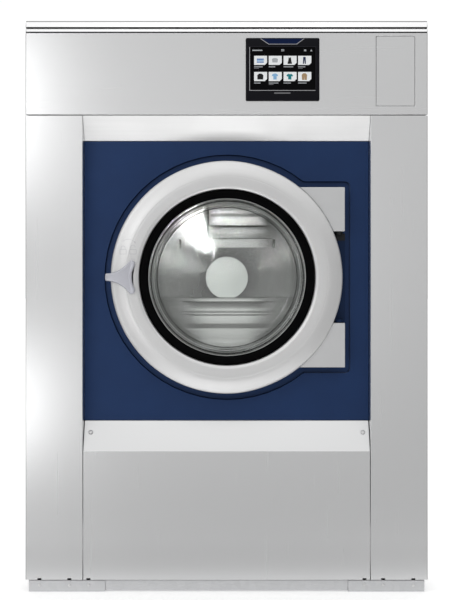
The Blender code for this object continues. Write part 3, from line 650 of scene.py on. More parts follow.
def tray(name, profile, corner, body, look, replaces, hem=None):
    """Folded tray seen from above: profile of (inset, z) swept round the deck's rectangle, with its left
    and right sides steeper than its front. Corners get a dark painted shade and the hem between two
    heights a grey painted shade; the flat top gets a darker copy of the steel, also painted shade."""
    loops = []
    for inset, z in profile:
        side = inset if inset > 0.009 else inset * 0.12
        pts = rounded_rect(-HALF_W + side, HALF_W - side, Y_FACE + inset, Y_REAR - inset,
                           max(0.0004, corner - inset * 0.3), 4)
        loops.append([(x, y, z) for x, y in pts])
    bm = loops_bm(loops)
    bmesh.ops.recalc_face_normals(bm, faces=bm.faces[:])
    for f in bm.faces:
        c, n = f.calc_center_median(), f.normal
        # eased corners that face sideways and forward get the dark look: painted shade
        if abs(n.x) > 0.25 and n.y < -0.25 and abs(n.z) < 0.8:
            f.material_index = 1
        # the front hem gets the grey look: painted shade
        if hem and hem[0] < c.z < hem[1] and c.y < Y_FACE + 0.012 and len(f.verts) < 5:
            f.material_index = 2
        if n.z < -0.5 and len(f.verts) < 5:
            f.material_index = 3
        # the flat top face gets the darker copy: painted shade
        if n.z > 0.98 and 1.4475 < c.z < 1.44888:
            f.material_index = 4
    return finish_mesh(name, bm, body, [look, STEEL_CORNER_SHADE, HEM_SHADE, RUBBER, STEEL_TOP_SHADE], 40.0, replaces,
                       weighted=True)


def polish(node, body, look, width=0.0008, segments=2, limit=28.0, name=None,
           fold=None):
    """The CAD node's own shape with its edges eased, standing for that node. The eased outer corners of
    the front get the look fold, a dark painted shade."""
    src = frame["nodes"][node].data
    bm = bmesh.new()
    bm.from_mesh(src)
    bmesh.ops.remove_doubles(bm, verts=bm.verts[:], dist=1e-6)
    bmesh.ops.dissolve_limit(bm, angle_limit=math.radians(0.3), verts=bm.verts[:],
                             edges=bm.edges[:])
    for f in bm.faces:
        f.smooth = True
        f.material_index = 0
    edges = [e for e in bm.edges if len(e.link_faces) == 2
             and e.calc_face_angle(0.0) > math.radians(limit)]
    if width:
        bmesh.ops.bevel(bm, geom=edges, offset=width, segments=segments, profile=0.5,
                        affect="EDGES", clamp_overlap=True, loop_slide=True)
    # painted shade on the eased outer corners
    if fold:
        bmesh.ops.recalc_face_normals(bm, faces=bm.faces[:])
        for f in bm.faces:
            c = f.calc_center_median()
            if (abs(c.x) > HALF_W - width * 1.05 and c.y < Y_FACE + width * 1.05
                    and abs(f.normal.x) > 0.2 and f.normal.y < -0.2):
                f.material_index = 1
        look = [look, fold]
    return finish_mesh(name or node + "_detail", bm, body, look, 50.0, node, weighted=True)


def carve(ob, cutters):
    """Cuts the closed meshes in cutters out of ob, for good."""
    for c in cutters:
        me = bpy.data.meshes.new("cutter")
        bmesh.ops.recalc_face_normals(c, faces=c.faces[:])
        c.to_mesh(me)
        c.free()
        tool = bpy.data.objects.new("cutter", me)
        bpy.context.scene.collection.objects.link(tool)
        mod = ob.modifiers.new("cut", "BOOLEAN")
        mod.operation, mod.solver, mod.object = "DIFFERENCE", "EXACT", tool
        for m in ob.modifiers:
            m.show_viewport = m == mod
        dg = bpy.context.evaluated_depsgraph_get()
        done = bpy.data.meshes.new_from_object(ob.evaluated_get(dg))
        ob.modifiers.remove(mod)
        for m in ob.modifiers:
            m.show_viewport = True
        old, ob.data = ob.data, done
        bpy.data.objects.remove(tool)
        bpy.data.meshes.remove(me)
        bpy.data.meshes.remove(old)
    ob.data.shade_smooth()
    ob.data.set_sharp_from_angle(angle=math.radians(50 if ob.modifiers else 30))
    return ob


def box_bm(x0, x1, y0, y1, z0, z1):
    return slab_bm([(x0, z0), (x1, z0), (x1, z1), (x0, z1)], y0, y1)


# ------------------------------------------------------------------ plain materials by slot
BY_SLOT = {
    "stainless_panel": STEEL_V, "galvanised_steel": GALV, "navy_paint": NAVY,
    "silver_paint": SILVER, "hinge_casting": HINGE_PAINT, "black_rubber": RUBBER,
    "dark_steel": DARK_STEEL, "polished_steel": POLISHED, "charcoal_plastic": CHARCOAL,
    "screen_surface": SCREEN_GLASS, "grey_plastic": GREY_PLASTIC, "cast_parts": CAST,
    "motor_casting": MOTOR_PAINT, "clear_glass": GLASS, "hub_plastic": HUB_PLASTIC,
}
slot_of = {}
for entry in frame["record"].get("subparts", []):
    if isinstance(entry, dict) and entry.get("node"):
        slot_of[entry["node"]] = entry.get("material_slot")
for node, ob in frame["nodes"].items():
    look = BY_SLOT.get(slot_of.get(node), STEEL_V)
    ob.data.materials.clear()
    ob.data.materials.append(look)
for node in ("tub_shell", "tub_back", "tub_front"):
    frame["nodes"][node].data.materials[0] = TUB_STEEL
frame["nodes"]["drum_shell"].data.materials[0] = DRUM_WALL

# ------------------------------------------------------------------ outer panels
for side in ("left", "right"):
    polish("side_panel_" + side, "cabinet", STEEL_V, 0.0010)
# columns, fascia and lower panel get painted shade on their eased outer corners
column_left = polish("front_column_left", "cabinet", STEEL_V, 0.0014,
                     fold=STEEL_CORNER_SHADE)
column_right = polish("front_column_right", "cabinet", STEEL_V, 0.0014,
                      fold=STEEL_CORNER_SHADE)
polish("rear_panel", "cabinet", GALV, 0.0006)
fascia = polish("fascia", "cabinet", STEEL_H, 0.0014, 3,
                fold=STEEL_CORNER_SHADE)
# the slanted strip gets the paler steel: painted light
polish("upper_slope_strip", "cabinet", STRIP_STEEL_LIT, 0.0006)
lower_panel = polish("lower_front_panel", "cabinet", STEEL_V, 0.0014,
                     fold=STEEL_CORNER_SHADE)
lower_panel.data.materials.append(STEEL_SLOPE_SHADE)
# faces of the lower panel's fold that look up get the darker copy: painted shade
for f in lower_panel.data.polygons:
    if f.normal.z > 0.35 and f.normal.y < -0.2 and f.center.z > Z_LOWER_TOP - 0.004:
        f.material_index = 2

# the top's two trays wear the paler copy of the steel: painted highlight
tray("top_cover_detail",
     [(0.0130, 1.4319), (0.0100, 1.4319), (0.0100, 1.4323), (0.0010, 1.4325),
      (0.0002, 1.4326), (0.0, 1.4329), (0.0004, 1.4340), (0.0018, 1.4386), (0.0034, 1.4420),
      (0.0046, 1.4448), (0.0048, 1.4466), (0.0052, 1.4485), (0.0056, 1.4489), (0.0130, 1.4489),
      (0.10, 1.4480)],
     0.0022, "cabinet", STEEL_EDGE_HIGHLIGHT, "top_cover", (1.4468, 1.44885))
tray("top_deck_detail",
     [(0.0130, 1.4193), (0.0100, 1.4193), (0.0100, 1.4206), (0.0010, 1.4208), (0.0002, 1.4209),
      (0.0, 1.4212), (0.0004, 1.4218), (0.0013, 1.4243), (0.0022, 1.4268), (0.0030, 1.4290),
      (0.0038, 1.4297), (0.0060, 1.4300), (0.0066, 1.4311), (0.0130, 1.4316), (0.10, 1.4316)],
     0.0022, "cabinet", STEEL_EDGE_HIGHLIGHT, "top_deck")



def deck_seal(name, inset, z0, z1):
    """Dark strip that runs round in a joint of the top, nearly flush at the left and right."""
    loops = []
    for step, z in ((0.0, z0), (0.0, z1), (0.004, z1), (0.004, z0)):
        side = 0.0004 + step
        loops.append([(x, y, z) for x, y in rounded_rect(-HALF_W + side, HALF_W - side,
                                                         Y_FACE + inset + step,
                                                         Y_REAR - inset - step, 0.0015, 3)])
    finish_mesh(name, loops_bm(loops, closed=True), "cabinet", RUBBER, 40.0)


deck_seal("deck_seal_upper", 0.0062, 1.4302, 1.4330)
deck_seal("deck_seal_lower", -0.0002, 1.4181, 1.4211)

# ------------------------------------------------------------------ base
for side in ("left", "right"):
    polish("foot_rail_" + side, "cabinet", GALV, 0.0006)
for end in ("front", "rear"):
    polish("base_beam_" + end, "cabinet", GALV, 0.0005)

SCREW = [(0, 0), (0.0046, 0), (0.0046, 0.0004), (0.0041, 0.0016), (0.0030, 0.0023),
         (0.0017, 0.0025), (0.0014, 0.0022), (0.0013, 0.0010), (0, 0.0010)]


def screw(name, at, square, body="cabinet", size=1.0, look=None, replaces=None):
    """Pan-head screw with a round drive recess, its underside at a point of the surface."""
    ob = lathe(name, [(r * size, p * size) for r, p in SCREW], 24, body, look or BRIGHT,
               (0, 0), "Z", 35.0)
    q = Vector(square).normalized().to_track_quat("Z", "Y")
    ob.data.transform(Matrix.Translation(Vector(at)) @ q.to_matrix().to_4x4())
    if replaces:
        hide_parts(replaces)
    return ob


notches = {"left": [], "right": []}
for n, (sx, sy) in enumerate(((39.3, 585.0), (69.2, 585.4), (88.3, 584.8), (364.4, 584.8),
                              (383.1, 585.1), (413.2, 585.5))):
    x, z = px(sx, sy)
    screw("base_screw_%d" % n, (x, -0.5496, z), (0, -1, 0), size=0.85)
    if n in (0, 1, 4, 5):
        notches["left" if x < 0 else "right"].append(x)
for side, ob in (("left", column_left), ("right", column_right)):
    carve(ob, [box_bm(x - 0.0050, x + 0.0050, -0.60, -0.5490, 0.02, 0.0345)
               for x in notches[side]])
carve(lower_panel, [box_bm(x - 0.0050, x + 0.0050, -0.60, -0.5490, 0.02, 0.0345)
                    for x in (px(88.3, 0)[0], px(364.4, 0)[0])])
for side, sx in (("left", -1), ("right", 1)):
    for n, y in enumerate((-0.52, -0.46, 0.46)):
        screw("rail_bolt_%s_%d" % (side, n), (sx * 0.5025, y, 0.0150), (sx, 0, 0), size=0.9)

# screws of the lower panel's slanted fold
top = Vector((0, Y_PANEL - 0.0008, Z_PANEL_BOT - 0.0005))
low = Vector((0, Y_FACE, Z_LOWER_TOP))
along = (low - top).normalized()
square = Vector((0, along.z, -along.y))
for side, x in (("left", -0.3471), ("right", 0.3483)):
    at = top + along * 0.0335 + square * 0.0003
    screw("fold_screw_" + side, (x, at.y, at.z), square, size=1.3,
          replaces="panel_screw_" + side)

# ------------------------------------------------------------------ door panel with its pocket
door_panel = polish("door_panel", "cabinet", NAVY, 0.0016, 3)
door_panel.data.materials.append(NAVY_POCKET_SHADE)
door_panel.data.materials.append(NAVY_POCKET_HIGHLIGHT)
# pocket walls get painted shade, or painted highlight where they face the light
for f in door_panel.data.polygons:  # the pocket's own walls: deeper, or lighter where they are lit
    c, n = f.center, f.normal
    if abs(c.x) < 0.352 and 0.445 < c.z < 1.135 and abs(n.y) < 0.95:
        f.material_index = 2 if n.x < -0.5 or (n.z > 0.5 and c.x > 0.20) else 1

# ------------------------------------------------------------------ rear
for n, x in enumerate((-0.42, -0.14, 0.14, 0.42)):
    for m, z in enumerate((0.060, 1.385)):
        screw("rear_screw_%d_%d" % (n, m), (x, Y_REAR, z), (0, 1, 0), size=1.1)
for m, z in enumerate((0.40, 0.72, 1.04)):
    for n, x in enumerate((-0.49, 0.49)):
        screw("rear_screw_side_%d_%d" % (n, m), (x, Y_REAR, z), (0, 1, 0), size=1.1)


def louvre(name, x, z, width):
    """Pressed hood over a slot, open at its lower side."""
    loops = []
    for k in range(9):
        a = math.pi * k / 16
        d, h = 0.0090 * math.sin(a) + 0.0004, 0.0100 * math.cos(a)
        taper = 0.004 * (1 - math.sin(a))
        loops.append([(x - width / 2 + taper, Y_REAR - 0.0004, z + h),
                      (x - width / 2 + taper, Y_REAR + d, z + h),
                      (x + width / 2 - taper, Y_REAR + d, z + h),
                      (x + width / 2 - taper, Y_REAR - 0.0004, z + h)])
    return finish_mesh(name, loops_bm(loops), "cabinet", GALV, 40.0)


for col in range(2):
    for row in range(7):
        louvre("rear_louvre_%d_%d" % (col, row), -0.16 + col * 0.32, 0.30 + row * 0.032, 0.22)
service = rounded_rect(-0.34, 0.34, 0.58, 1.06, 0.012)
bm = loops_bm([[(x, Y_REAR - 0.0004, z) for x, z in service],
               [(x, Y_REAR + 0.0012, z) for x, z in service],
               [(x, Y_REAR + 0.0020, z) for x, z in rounded_rect(-0.3390, 0.3390, 0.581, 1.059, 0.011)]])
finish_mesh("service_cover", bm, "cabinet", GALV, 30.0)
for n, (x, z) in enumerate(((-0.32, 0.60), (0.32, 0.60), (-0.32, 1.04), (0.32, 1.04),
                            (0.0, 0.60), (0.0, 1.04))):
    screw("service_screw_%d" % n, (x, Y_REAR + 0.0019, z), (0, 1, 0), size=1.1)
polish("mains_box", "cabinet", GREY_PLASTIC, 0.0006)
polish("cable_gland", "cabinet", CHARCOAL, 0.0004)
polish("drain_outlet", "cabinet", GREY_PLASTIC, 0.0008)
for k in ("cold", "hot"):
    x = -0.30 if k == "cold" else -0.22
    prof = [(0, 0.5000), (0.0235, 0.5000), (0.0240, 0.5005), (0.0240, 0.5452), (0.0140, 0.5452)]
    y = 0.5475
    while y < 0.5775:  # pipe thread
        prof += [(0.0140, y), (0.0131, y + 0.0011), (0.0131, y + 0.0013)]
        y += 0.0024
    prof += [(0.0138, 0.5790), (0.0132, 0.5800), (0.0095, 0.5800), (0.0095, 0.5550), (0, 0.5550)]
    lathe("inlet_thread_" + k, prof, 40, "cabinet", POLISHED, (x, 1.3), "Y", 35.0,
          "water_inlet_" + k)

# ------------------------------------------------------------------ control unit
bm = bmesh.new()
outer = rounded_rect(DISPLAY[0], DISPLAY[1], DISPLAY[2], DISPLAY[3], 0.0035)


def frame_loop(grow, y, r=0.0035):
    return [(x, y, z) for x, z in rounded_rect(DISPLAY[0] + grow, DISPLAY[1] - grow,
                                               DISPLAY[2] + grow, DISPLAY[3] - grow, r)]


def screen_loop(grow, y, r=0.0012):
    return [(x, y, z) for x, z in rounded_rect(SCREEN[0] - grow, SCREEN[1] + grow,
                                               SCREEN[2] - grow, SCREEN[3] + grow, r)]


loops = [frame_loop(0.0, Y_FACE - 0.0003), frame_loop(0.0, -0.5560), frame_loop(0.0004, -0.5570),
         frame_loop(0.0014, -0.5575),
         screen_loop(0.0022, -0.5575), screen_loop(0.0019, -0.5572), screen_loop(0.0004, -0.5572),
         screen_loop(0.0003, -0.5560), screen_loop(0.0003, -0.5540)]
loops_bm(loops, cap_first=True, cap_last=True, bm=bm)
lo, hi = DISPLAY[0] + 0.0075, DISPLAY[1] - 0.0075
bmesh.ops.recalc_face_normals(bm, faces=bm.faces[:])
finish_mesh("control_frame", bm, "cabinet", CHARCOAL, 35.0, "display_housing")
loops_bm_body = box_bm(lo, hi, -0.5518, -0.5000, DISPLAY[2] + 0.0075, DISPLAY[3] - 0.0075)
finish_mesh("control_case", loops_bm_body, "cabinet", CHARCOAL, 35.0)

# light line round the screen
bm = loops_bm([screen_loop(0.0021, -0.5571), screen_loop(0.0021, -0.55765),
               screen_loop(0.0008, -0.55765), screen_loop(0.0008, -0.5571)], closed=True)
# painted highlight at the left and below, painted shade at the right and above
for f in bm.faces:  # the line is bright at the left and below, dark at the right and above
    c = f.calc_center_median()
    f.material_index = int(c.x > SCREEN[1] - 0.0004 or c.z > SCREEN[3] - 0.0004)
finish_mesh("screen_line", bm, "cabinet", [BEZEL_LINE, LINE_SHADE], 35.0)

bm = loops_bm([screen_loop(0.0, -0.5543), screen_loop(0.0, -0.5568), screen_loop(-0.0002, -0.5570)])
finish_mesh("screen_pane", bm, "cabinet", SCREEN_GLASS, 30.0, "touch_screen")

# bare badge above the screen and the light slot below it
badge = [px(260.0, 38.9), px(304.3, 38.9), px(296.6, 44.6), px(268.4, 44.6)]
small = [px(260.8, 38.8), px(303.5, 38.8), px(296.3, 44.1), px(268.7, 44.1)]
bm = slab_bm(badge, -0.5574, -0.5577)
finish_mesh("badge_rim", bm, "cabinet", BEZEL_LINE, 30.0)
finish_mesh("badge_field", slab_bm(small, -0.5576, -0.5579), "cabinet", BADGE, 30.0)
x0, z0 = px(274.0, 93.9)
x1, z1 = px(290.3, 92.6)
finish_mesh("light_slot", slab_bm(rounded_rect(x0, x1, z0, z1, 0.0012), -0.5574, -0.5577),
            "cabinet", INK_DIM, 30.0)


# ------------------------------------------------------------------ what the screen shows
FACE = -0.5570
ui_looks = [INK_WHITE, INK_PALE, INK_DIM, INK_BLUE, INK_SKY, INK_NAVY, INK_DARK, INK_TEAL, INK_TAN]
ui = bmesh.new()


def patch(outline, layer, index):
    """A lit patch; later layers stand slightly prouder."""
    slab_bm(outline, FACE + 0.0001, FACE - 0.00012 - 0.00008 * layer, ui, index)


def pxr(x0, y0, x1, y1):
    a, b = px(x0, y1), px(x1, y0)
    return [(a[0], a[1]), (b[0], a[1]), (b[0], b[1]), (a[0], b[1])]


SHAPES = {
    "stack": [([(-.5, .12), (.5, .12), (.5, .38), (-.5, .38)], 3),
              ([(-.5, -.20), (.5, -.20), (.5, .04), (-.5, .04)], 4),
              ([(-.5, -.50), (.5, -.50), (.5, -.28), (-.5, -.28)], 3)],
    "sheet": [([(-.42, -.42), (.42, -.42), (.50, .30), (.20, .45), (-.20, .45), (-.50, .30)], 1)],
    "dress": [([(-.16, .5), (-.05, .36), (.05, .36), (.16, .5), (.20, .12), (.36, -.5),
                (-.36, -.5), (-.20, .12)], 6)],
    "trousers": [([(-.24, .5), (.24, .5), (.30, -.5), (.07, -.5), (0, .12), (-.07, -.5),
                   (-.30, -.5)], 5)],
    "jacket": [([(-.18, .46), (.18, .46), (.46, .22), (.44, -.46), (-.44, -.46), (-.46, .22)], 6)],
    "shirt": [([(-.20, .46), (.20, .46), (.50, .22), (.38, .02), (.26, .10), (.26, -.46),
                (-.26, -.46), (-.26, .10), (-.38, .02), (-.50, .22)], 4)],
    "tee": [([(-.22, .44), (-.08, .36), (.08, .36), (.22, .44), (.54, .20), (.40, -.02),
              (.26, .08), (.26, -.46), (-.26, -.46), (-.26, .08), (-.40, -.02), (-.54, .20)], 7)],
    "coat": [([(-.20, .48), (.20, .48), (.44, .26), (.40, -.50), (.03, -.50), (0, .10),
               (-.03, -.50), (-.40, -.50), (-.44, .26)], 8)],
}
SIZES = {"stack": (7.0, 4.6), "sheet": (6.0, 5.0), "dress": (6.5, 7.0), "trousers": (5.0, 6.8),
         "jacket": (6.6, 6.4), "shirt": (6.4, 6.6), "tee": (6.2, 6.4), "coat": (6.0, 6.8)}
columns_px = ((254.0, 266.9), (268.6, 281.6), (283.4, 296.4), (297.9, 311.1))
rows_px = ((56.0, 65.1), (72.1, 81.3))
order = (("stack", "sheet", "dress", "trousers"), ("jacket", "shirt", "tee", "coat"))
for r, (ya, yb) in enumerate(rows_px):
    for c, (xa, xb) in enumerate(columns_px):
        # tile with its lower right corner cut
        tile = [px(xa, yb), px(xb - 2.2, yb), px(xb, yb - 2.2), px(xb, ya), px(xa, ya)]
        patch(tile, 0, 0)
        kind = order[r][c]
        w, h = SIZES[kind]
        cx, cz = px((xa + xb) / 2 - 0.3, (ya + yb) / 2)
        for shape, index in SHAPES[kind]:
            patch([(cx + u * w * PX, cz + v * h * PX) for u, v in shape], 1, index)
        patch(pxr(xa, yb + 1.5, xa + (8.5, 6.4, 9.6, 7.2)[(c + r) % 4], yb + 2.3), 0, 1)
        if (c + 2 * r) % 3 == 0:
            patch(pxr(xa, yb + 3.0, xa + 4.6, yb + 3.7), 0, 2)
patch(pxr(252.2, 50.0, 262.2, 51.1), 0, 1)
patch(pxr(281.0, 49.5, 284.0, 50.2), 0, 1)
patch(pxr(281.0, 50.7, 284.0, 51.4), 0, 1)
patch(pxr(303.8, 49.7, 306.0, 51.4), 0, 1)
patch([px(309.9, 51.5), px(312.2, 51.5), px(311.05, 49.5)], 0, 1)
finish_mesh("screen_pictograms", ui, "cabinet", ui_looks, 30.0)

# ------------------------------------------------------------------ detergent compartment
polish("detergent_box", "cabinet", GREY_PLASTIC, 0.0006)
polish("detergent_drawer", "drawer", STEEL_H, 0.0010, 3)

# ------------------------------------------------------------------ door: ring
RING = [(0.2235, -0.5560), (0.2237, -0.5612), (0.2256, -0.5632), (0.2318, -0.5658),
        (0.2500, -0.5660), (0.2548, -0.5658), (0.2554, -0.5652), (0.2564, -0.5656), (0.2640, -0.5644), (0.2750, -0.5610),
        (0.2850, -0.5571), (0.2908, -0.5543), (0.2935, -0.5505), (0.2935, -0.5245),
        (0.2905, -0.5215), (0.2235, -0.5215)]
ring_profile = soften(RING, [0.0012, 0.002, 0.0016, 0.0010, 0.0016, 0.0002, 0.0003, 0.0006, 0.004,
                             0.004, 0.004, 0.004, 0.003, 0.0016, 0.0016, 0.0004], 4)
ring = lathe("door_ring_detail", ring_profile, 200, "door", SILVER, angle=40.0,
             replaces="door_ring")
# the rim stands a little wider, apart from the hinge side, which turns in close to the bracket
for v in ring.data.vertices:
    dx, dz = v.co.x - DOOR_X, v.co.z - DOOR_Z
    r = math.hypot(dx, dz)
    if r > 0.2860:
        a = max(0.0, min(1.0, (0.45 - dx / r) / 0.45))
        out = 0.0023 * a * a * (3 - 2 * a) * min(1.0, (r - 0.2860) / 0.0060)
        v.co.x += dx / r * out
        v.co.z += dz / r * out
carve(ring, [lathe_bm([(0, -0.60), (0.0105, -0.60), (0.0105, -0.50), (0, -0.50)], 32,
                      (HANDLE_X, HANDLE_Z))])


def ring_face(r):
    """Front surface of the ring at a radius."""
    pts = [p for p in RING if p[0] >= 0.2318][:10]
    for (r0, y0), (r1, y1) in zip(pts, pts[1:]):
        if r0 <= r <= r1 and r1 > r0:
            return y0 + (y1 - y0) * (r - r0) / (r1 - r0)
    return RING_FRONT


def relief(bm, loop, high=0.0005, hole=None):
    """Raised mark that follows the ring's face."""
    def y_at(x, z, d):
        return ring_face(math.hypot(x - DOOR_X, z - DOOR_Z)) + d
    if hole:
        loops = [[(x, y_at(x, z, 0.0006), z) for x, z in loop],
                 [(x, y_at(x, z, -high), z) for x, z in loop],
                 [(x, y_at(x, z, -high), z) for x, z in hole],
                 [(x, y_at(x, z, 0.0006), z) for x, z in hole]]
        loops_bm(loops, closed=True, bm=bm)
    else:
        loops_bm([[(x, y_at(x, z, 0.0006), z) for x, z in loop],
                  [(x, y_at(x, z, -high), z) for x, z in loop]], bm=bm)


def arc(cx, cz, r, a0, a1, n):
    return [(cx + r * math.cos(math.radians(a0 + (a1 - a0) * k / n)),
             cz + r * math.sin(math.radians(a0 + (a1 - a0) * k / n))) for k in range(n + 1)]


marks = bmesh.new()
for n, (ix, iy) in enumerate(((123.2, 251.6), (133.2, 251.6))):
    cx, cz = px(ix, iy)
    relief(marks, rounded_rect(cx - 0.0088, cx + 0.0088, cz - 0.0068, cz + 0.0060, 0.0014),
           hole=rounded_rect(cx - 0.0074, cx + 0.0074, cz - 0.0054, cz + 0.0046, 0.0008))
    top_z = cz + 0.0060
    shift = 0.0 if n == 0 else 0.0022
    out = arc(cx, top_z + 0.0030 + shift, 0.0060, 0, 180, 12)
    inn = arc(cx, top_z + 0.0030 + shift, 0.0046, 180, 0, 12)
    legs = [(cx - 0.0060, top_z), (cx - 0.0046, top_z)]
    end = [(cx + 0.0046, top_z + (0.0 if n == 0 else 0.0040)),
           (cx + 0.0060, top_z + (0.0 if n == 0 else 0.0040))]
    relief(marks, out + legs + inn + end)
cx, cz = px(128.4, 247.5)
sweep_out = arc(cx, cz, 0.0215, 38, 132, 16)
sweep_in = arc(cx, cz, 0.0203, 132, 38, 16)
relief(marks, sweep_out + sweep_in)
hx, hz = arc(cx, cz, 0.0209, 38, 38, 1)[0]
relief(marks, [(hx - 0.0034, hz + 0.0010), (hx + 0.0010, hz + 0.0028), (hx + 0.0030, hz - 0.0034)])
finish_mesh("ring_marks", marks, "door", MARK_SILVER, 30.0)

# ------------------------------------------------------------------ door: seal and glass
SEAL_PROFILE = [(0.2007, -0.5440), (0.2018, -0.5500), (0.2050, -0.5527), (0.2120, -0.5530),
                (0.2195, -0.5530), (0.2222, -0.5510), (0.2229, -0.5470), (0.2229, -0.5350),
                (0.2007, -0.5350)]
lathe("seal_detail", soften(SEAL_PROFILE, 0.0012, 3), 180, "door", SEAL, angle=45.0,
      replaces="glass_gasket")

BOWL = [(0, -0.4010), (0.1200, -0.4032), (0.1730, -0.4085), (0.1835, -0.4240), (0.1945, -0.5150),
        (0.2005, -0.5347), (0.2229, -0.5347), (0.2229, -0.5267), (0.2060, -0.5267),
        (0.2025, -0.5150), (0.1920, -0.4240), (0.1810, -0.4020), (0.1200, -0.3958), (0, -0.3935)]
bowl = soften(BOWL, [0, 0.03, 0.010, 0.010, 0.01, 0.006, 0.0008, 0.0008, 0.004, 0.006, 0.010,
                     0.010, 0.03, 0], 5)
lathe("window_bowl", bowl, 160, "door", GLASS, angle=60.0, replaces="door_glass")
# thin dark line of painted shade where the wall turns into the floor, just behind the glass
line = [(0.1838, -0.4044), (0.1850, -0.4044), (0.1856, -0.4036), (0.1850, -0.4028),
        (0.1840, -0.4030)]
lathe("bowl_turn_line", line, 160, "door", BEND_SHADE, angle=60.0)


def bowl_ring(name, r, y, wide, look):
    """Thin moulded ring of the bowl's wall."""
    half = wide / 2
    lathe(name, soften([(r - half, y), (r + half, y), (r + half, y + 0.0008), (r - half, y + 0.0008)],
                       0.0003, 3), 160, "door", look, angle=60.0)


# painted reflection: pale rings on the bowl's wall and a bright line at its rim
bowl_ring("bowl_light_ring", 0.1903, -0.4700, 0.0028, RING_REFLECTION)
bowl_ring("bowl_grey_ring", 0.1937, -0.4900, 0.0016, RING_REFLECTION)
# painted shade: a dark ring on the bowl's wall
bowl_ring("bowl_dark_ring", 0.1960, -0.5020, 0.0032, BEND_SHADE)
bowl_ring("rim_bright_line", 0.1999, -0.5375, 0.0016, RING_REFLECTION)

# ------------------------------------------------------------------ hinge
for k in ("upper", "lower"):
    polish("hinge_arm_" + k, "door", HINGE_PAINT, 0.0022, 3)
bracket = polish("hinge_bracket", "cabinet", BRACKET_NAVY_SHADE, 0.0006)
bm = bmesh.new()
bm.from_mesh(bracket.data)
# painted shadow: the bracket's part above z 0.892, just under the upper arm, gets the black look
bmesh.ops.bisect_plane(bm, geom=bm.verts[:] + bm.edges[:] + bm.faces[:], dist=1e-6,
                       plane_co=(0, 0, 0.8920), plane_no=(0, 0, 1))
for f in bm.faces:
    if f.calc_center_median().z > 0.8920:
        f.material_index = 1
bm.to_mesh(bracket.data)
bm.free()
bracket.data.materials.append(DARK_STEEL)

# ------------------------------------------------------------------ handle


def lever_side(grow, steps=16):
    """Outline of the lever, metres about its axis, moved outwards by grow."""
    upper = []
    for k in range(steps + 1):  # concave flare from the stem to the horn
        t = k / steps
        upper.append((-0.0400 + 0.0610 * t, 0.0097 + 0.0328 * t ** 2.2))
    tip = [(0.0262, 0.0423), (0.0316, 0.0388), (0.0330, 0.0330)]
    inner = [(0.0290, 0.0220), (0.0252, 0.0110), (0.0240, 0.0)]
    pts = upper + tip + inner
    pts += [(x, -z) for x, z in reversed(pts[:-1])]
    pts += [(-0.0422, -0.0072), (-0.0428, 0.0), (-0.0422, 0.0072)]
    n = len(pts)
    out = []
    for i, p in enumerate(pts):
        a, b = Vector(pts[i - 1]), Vector(pts[(i + 1) % n])
        t = (b - a).normalized()
        out.append((p[0] - t.y * grow, p[1] + t.x * grow))
    return out


def lever_loop(grow, y):
    return [(HANDLE_X + x, y, HANDLE_Z + z) for x, z in lever_side(grow)]


def lever_face(grow, y, cut=0.0):
    """Loop of the front face; its inner side is set back from the concave edge by cut."""
    pts = []
    for x, z in lever_side(grow):
        lean = max(0.0, min(1.0, (x - 0.012) / 0.014))
        away = 1.0 - 0.45 * abs(z) / 0.042
        pts.append((HANDLE_X + x - cut * lean * away, y + 0.0006 * lean, HANDLE_Z + z * (1 - 0.04 * lean)))
    return pts


loops = [lever_loop(-0.0006, -0.5666), lever_loop(0.0, -0.5674), lever_loop(0.0, -0.5735),
         lever_loop(-0.0003, -0.5756), lever_face(-0.0009, -0.5774, 0.0008),
         lever_face(-0.0016, -0.5786, 0.0018), lever_face(-0.0026, -0.57930, 0.0028),
         lever_face(-0.0036, -0.57925, 0.0036), lever_face(-0.0047, -0.57870, 0.0042),
         lever_face(-0.0060, -0.57830, 0.0046)]
bm = loops_bm(loops)
bmesh.ops.triangulate(bm, faces=[f for f in bm.faces if len(f.verts) > 4])
lever = finish_mesh("lever_detail", bm, "handle", LEVER, 50.0, "door_handle")
lathe("lever_shaft", [(0, -0.5700), (0.0080, -0.5700), (0.0080, -0.5060), (0.0072, -0.5050),
                      (0, -0.5050)], 32, "handle", POLISHED, (HANDLE_X, HANDLE_Z), "Y", 35.0)

# ------------------------------------------------------------------ bellows
folds = [(0.2255, -0.5205), (0.2370, -0.5205), (0.2385, -0.5150), (0.2385, -0.4961),
         (0.2470, -0.4961), (0.2470, -0.4880), (0.2410, -0.4870), (0.2475, -0.4740),
         (0.2410, -0.4600), (0.2475, -0.4460), (0.2420, -0.4330), (0.2370, -0.4330),
         (0.2425, -0.4460), (0.2370, -0.4600), (0.2425, -0.4740), (0.2350, -0.4890)]
bellows = lathe("bellows_detail",
                soften(folds, [0.001, 0.001, 0.002, 0.0004, 0.0004, 0.001, 0.003, 0.006,
                               0.006, 0.006, 0.001, 0.001, 0.006, 0.006, 0.006, 0.004], 4),
                120, None, RUBBER, angle=50.0, replaces="door_bellows")
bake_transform(bellows)


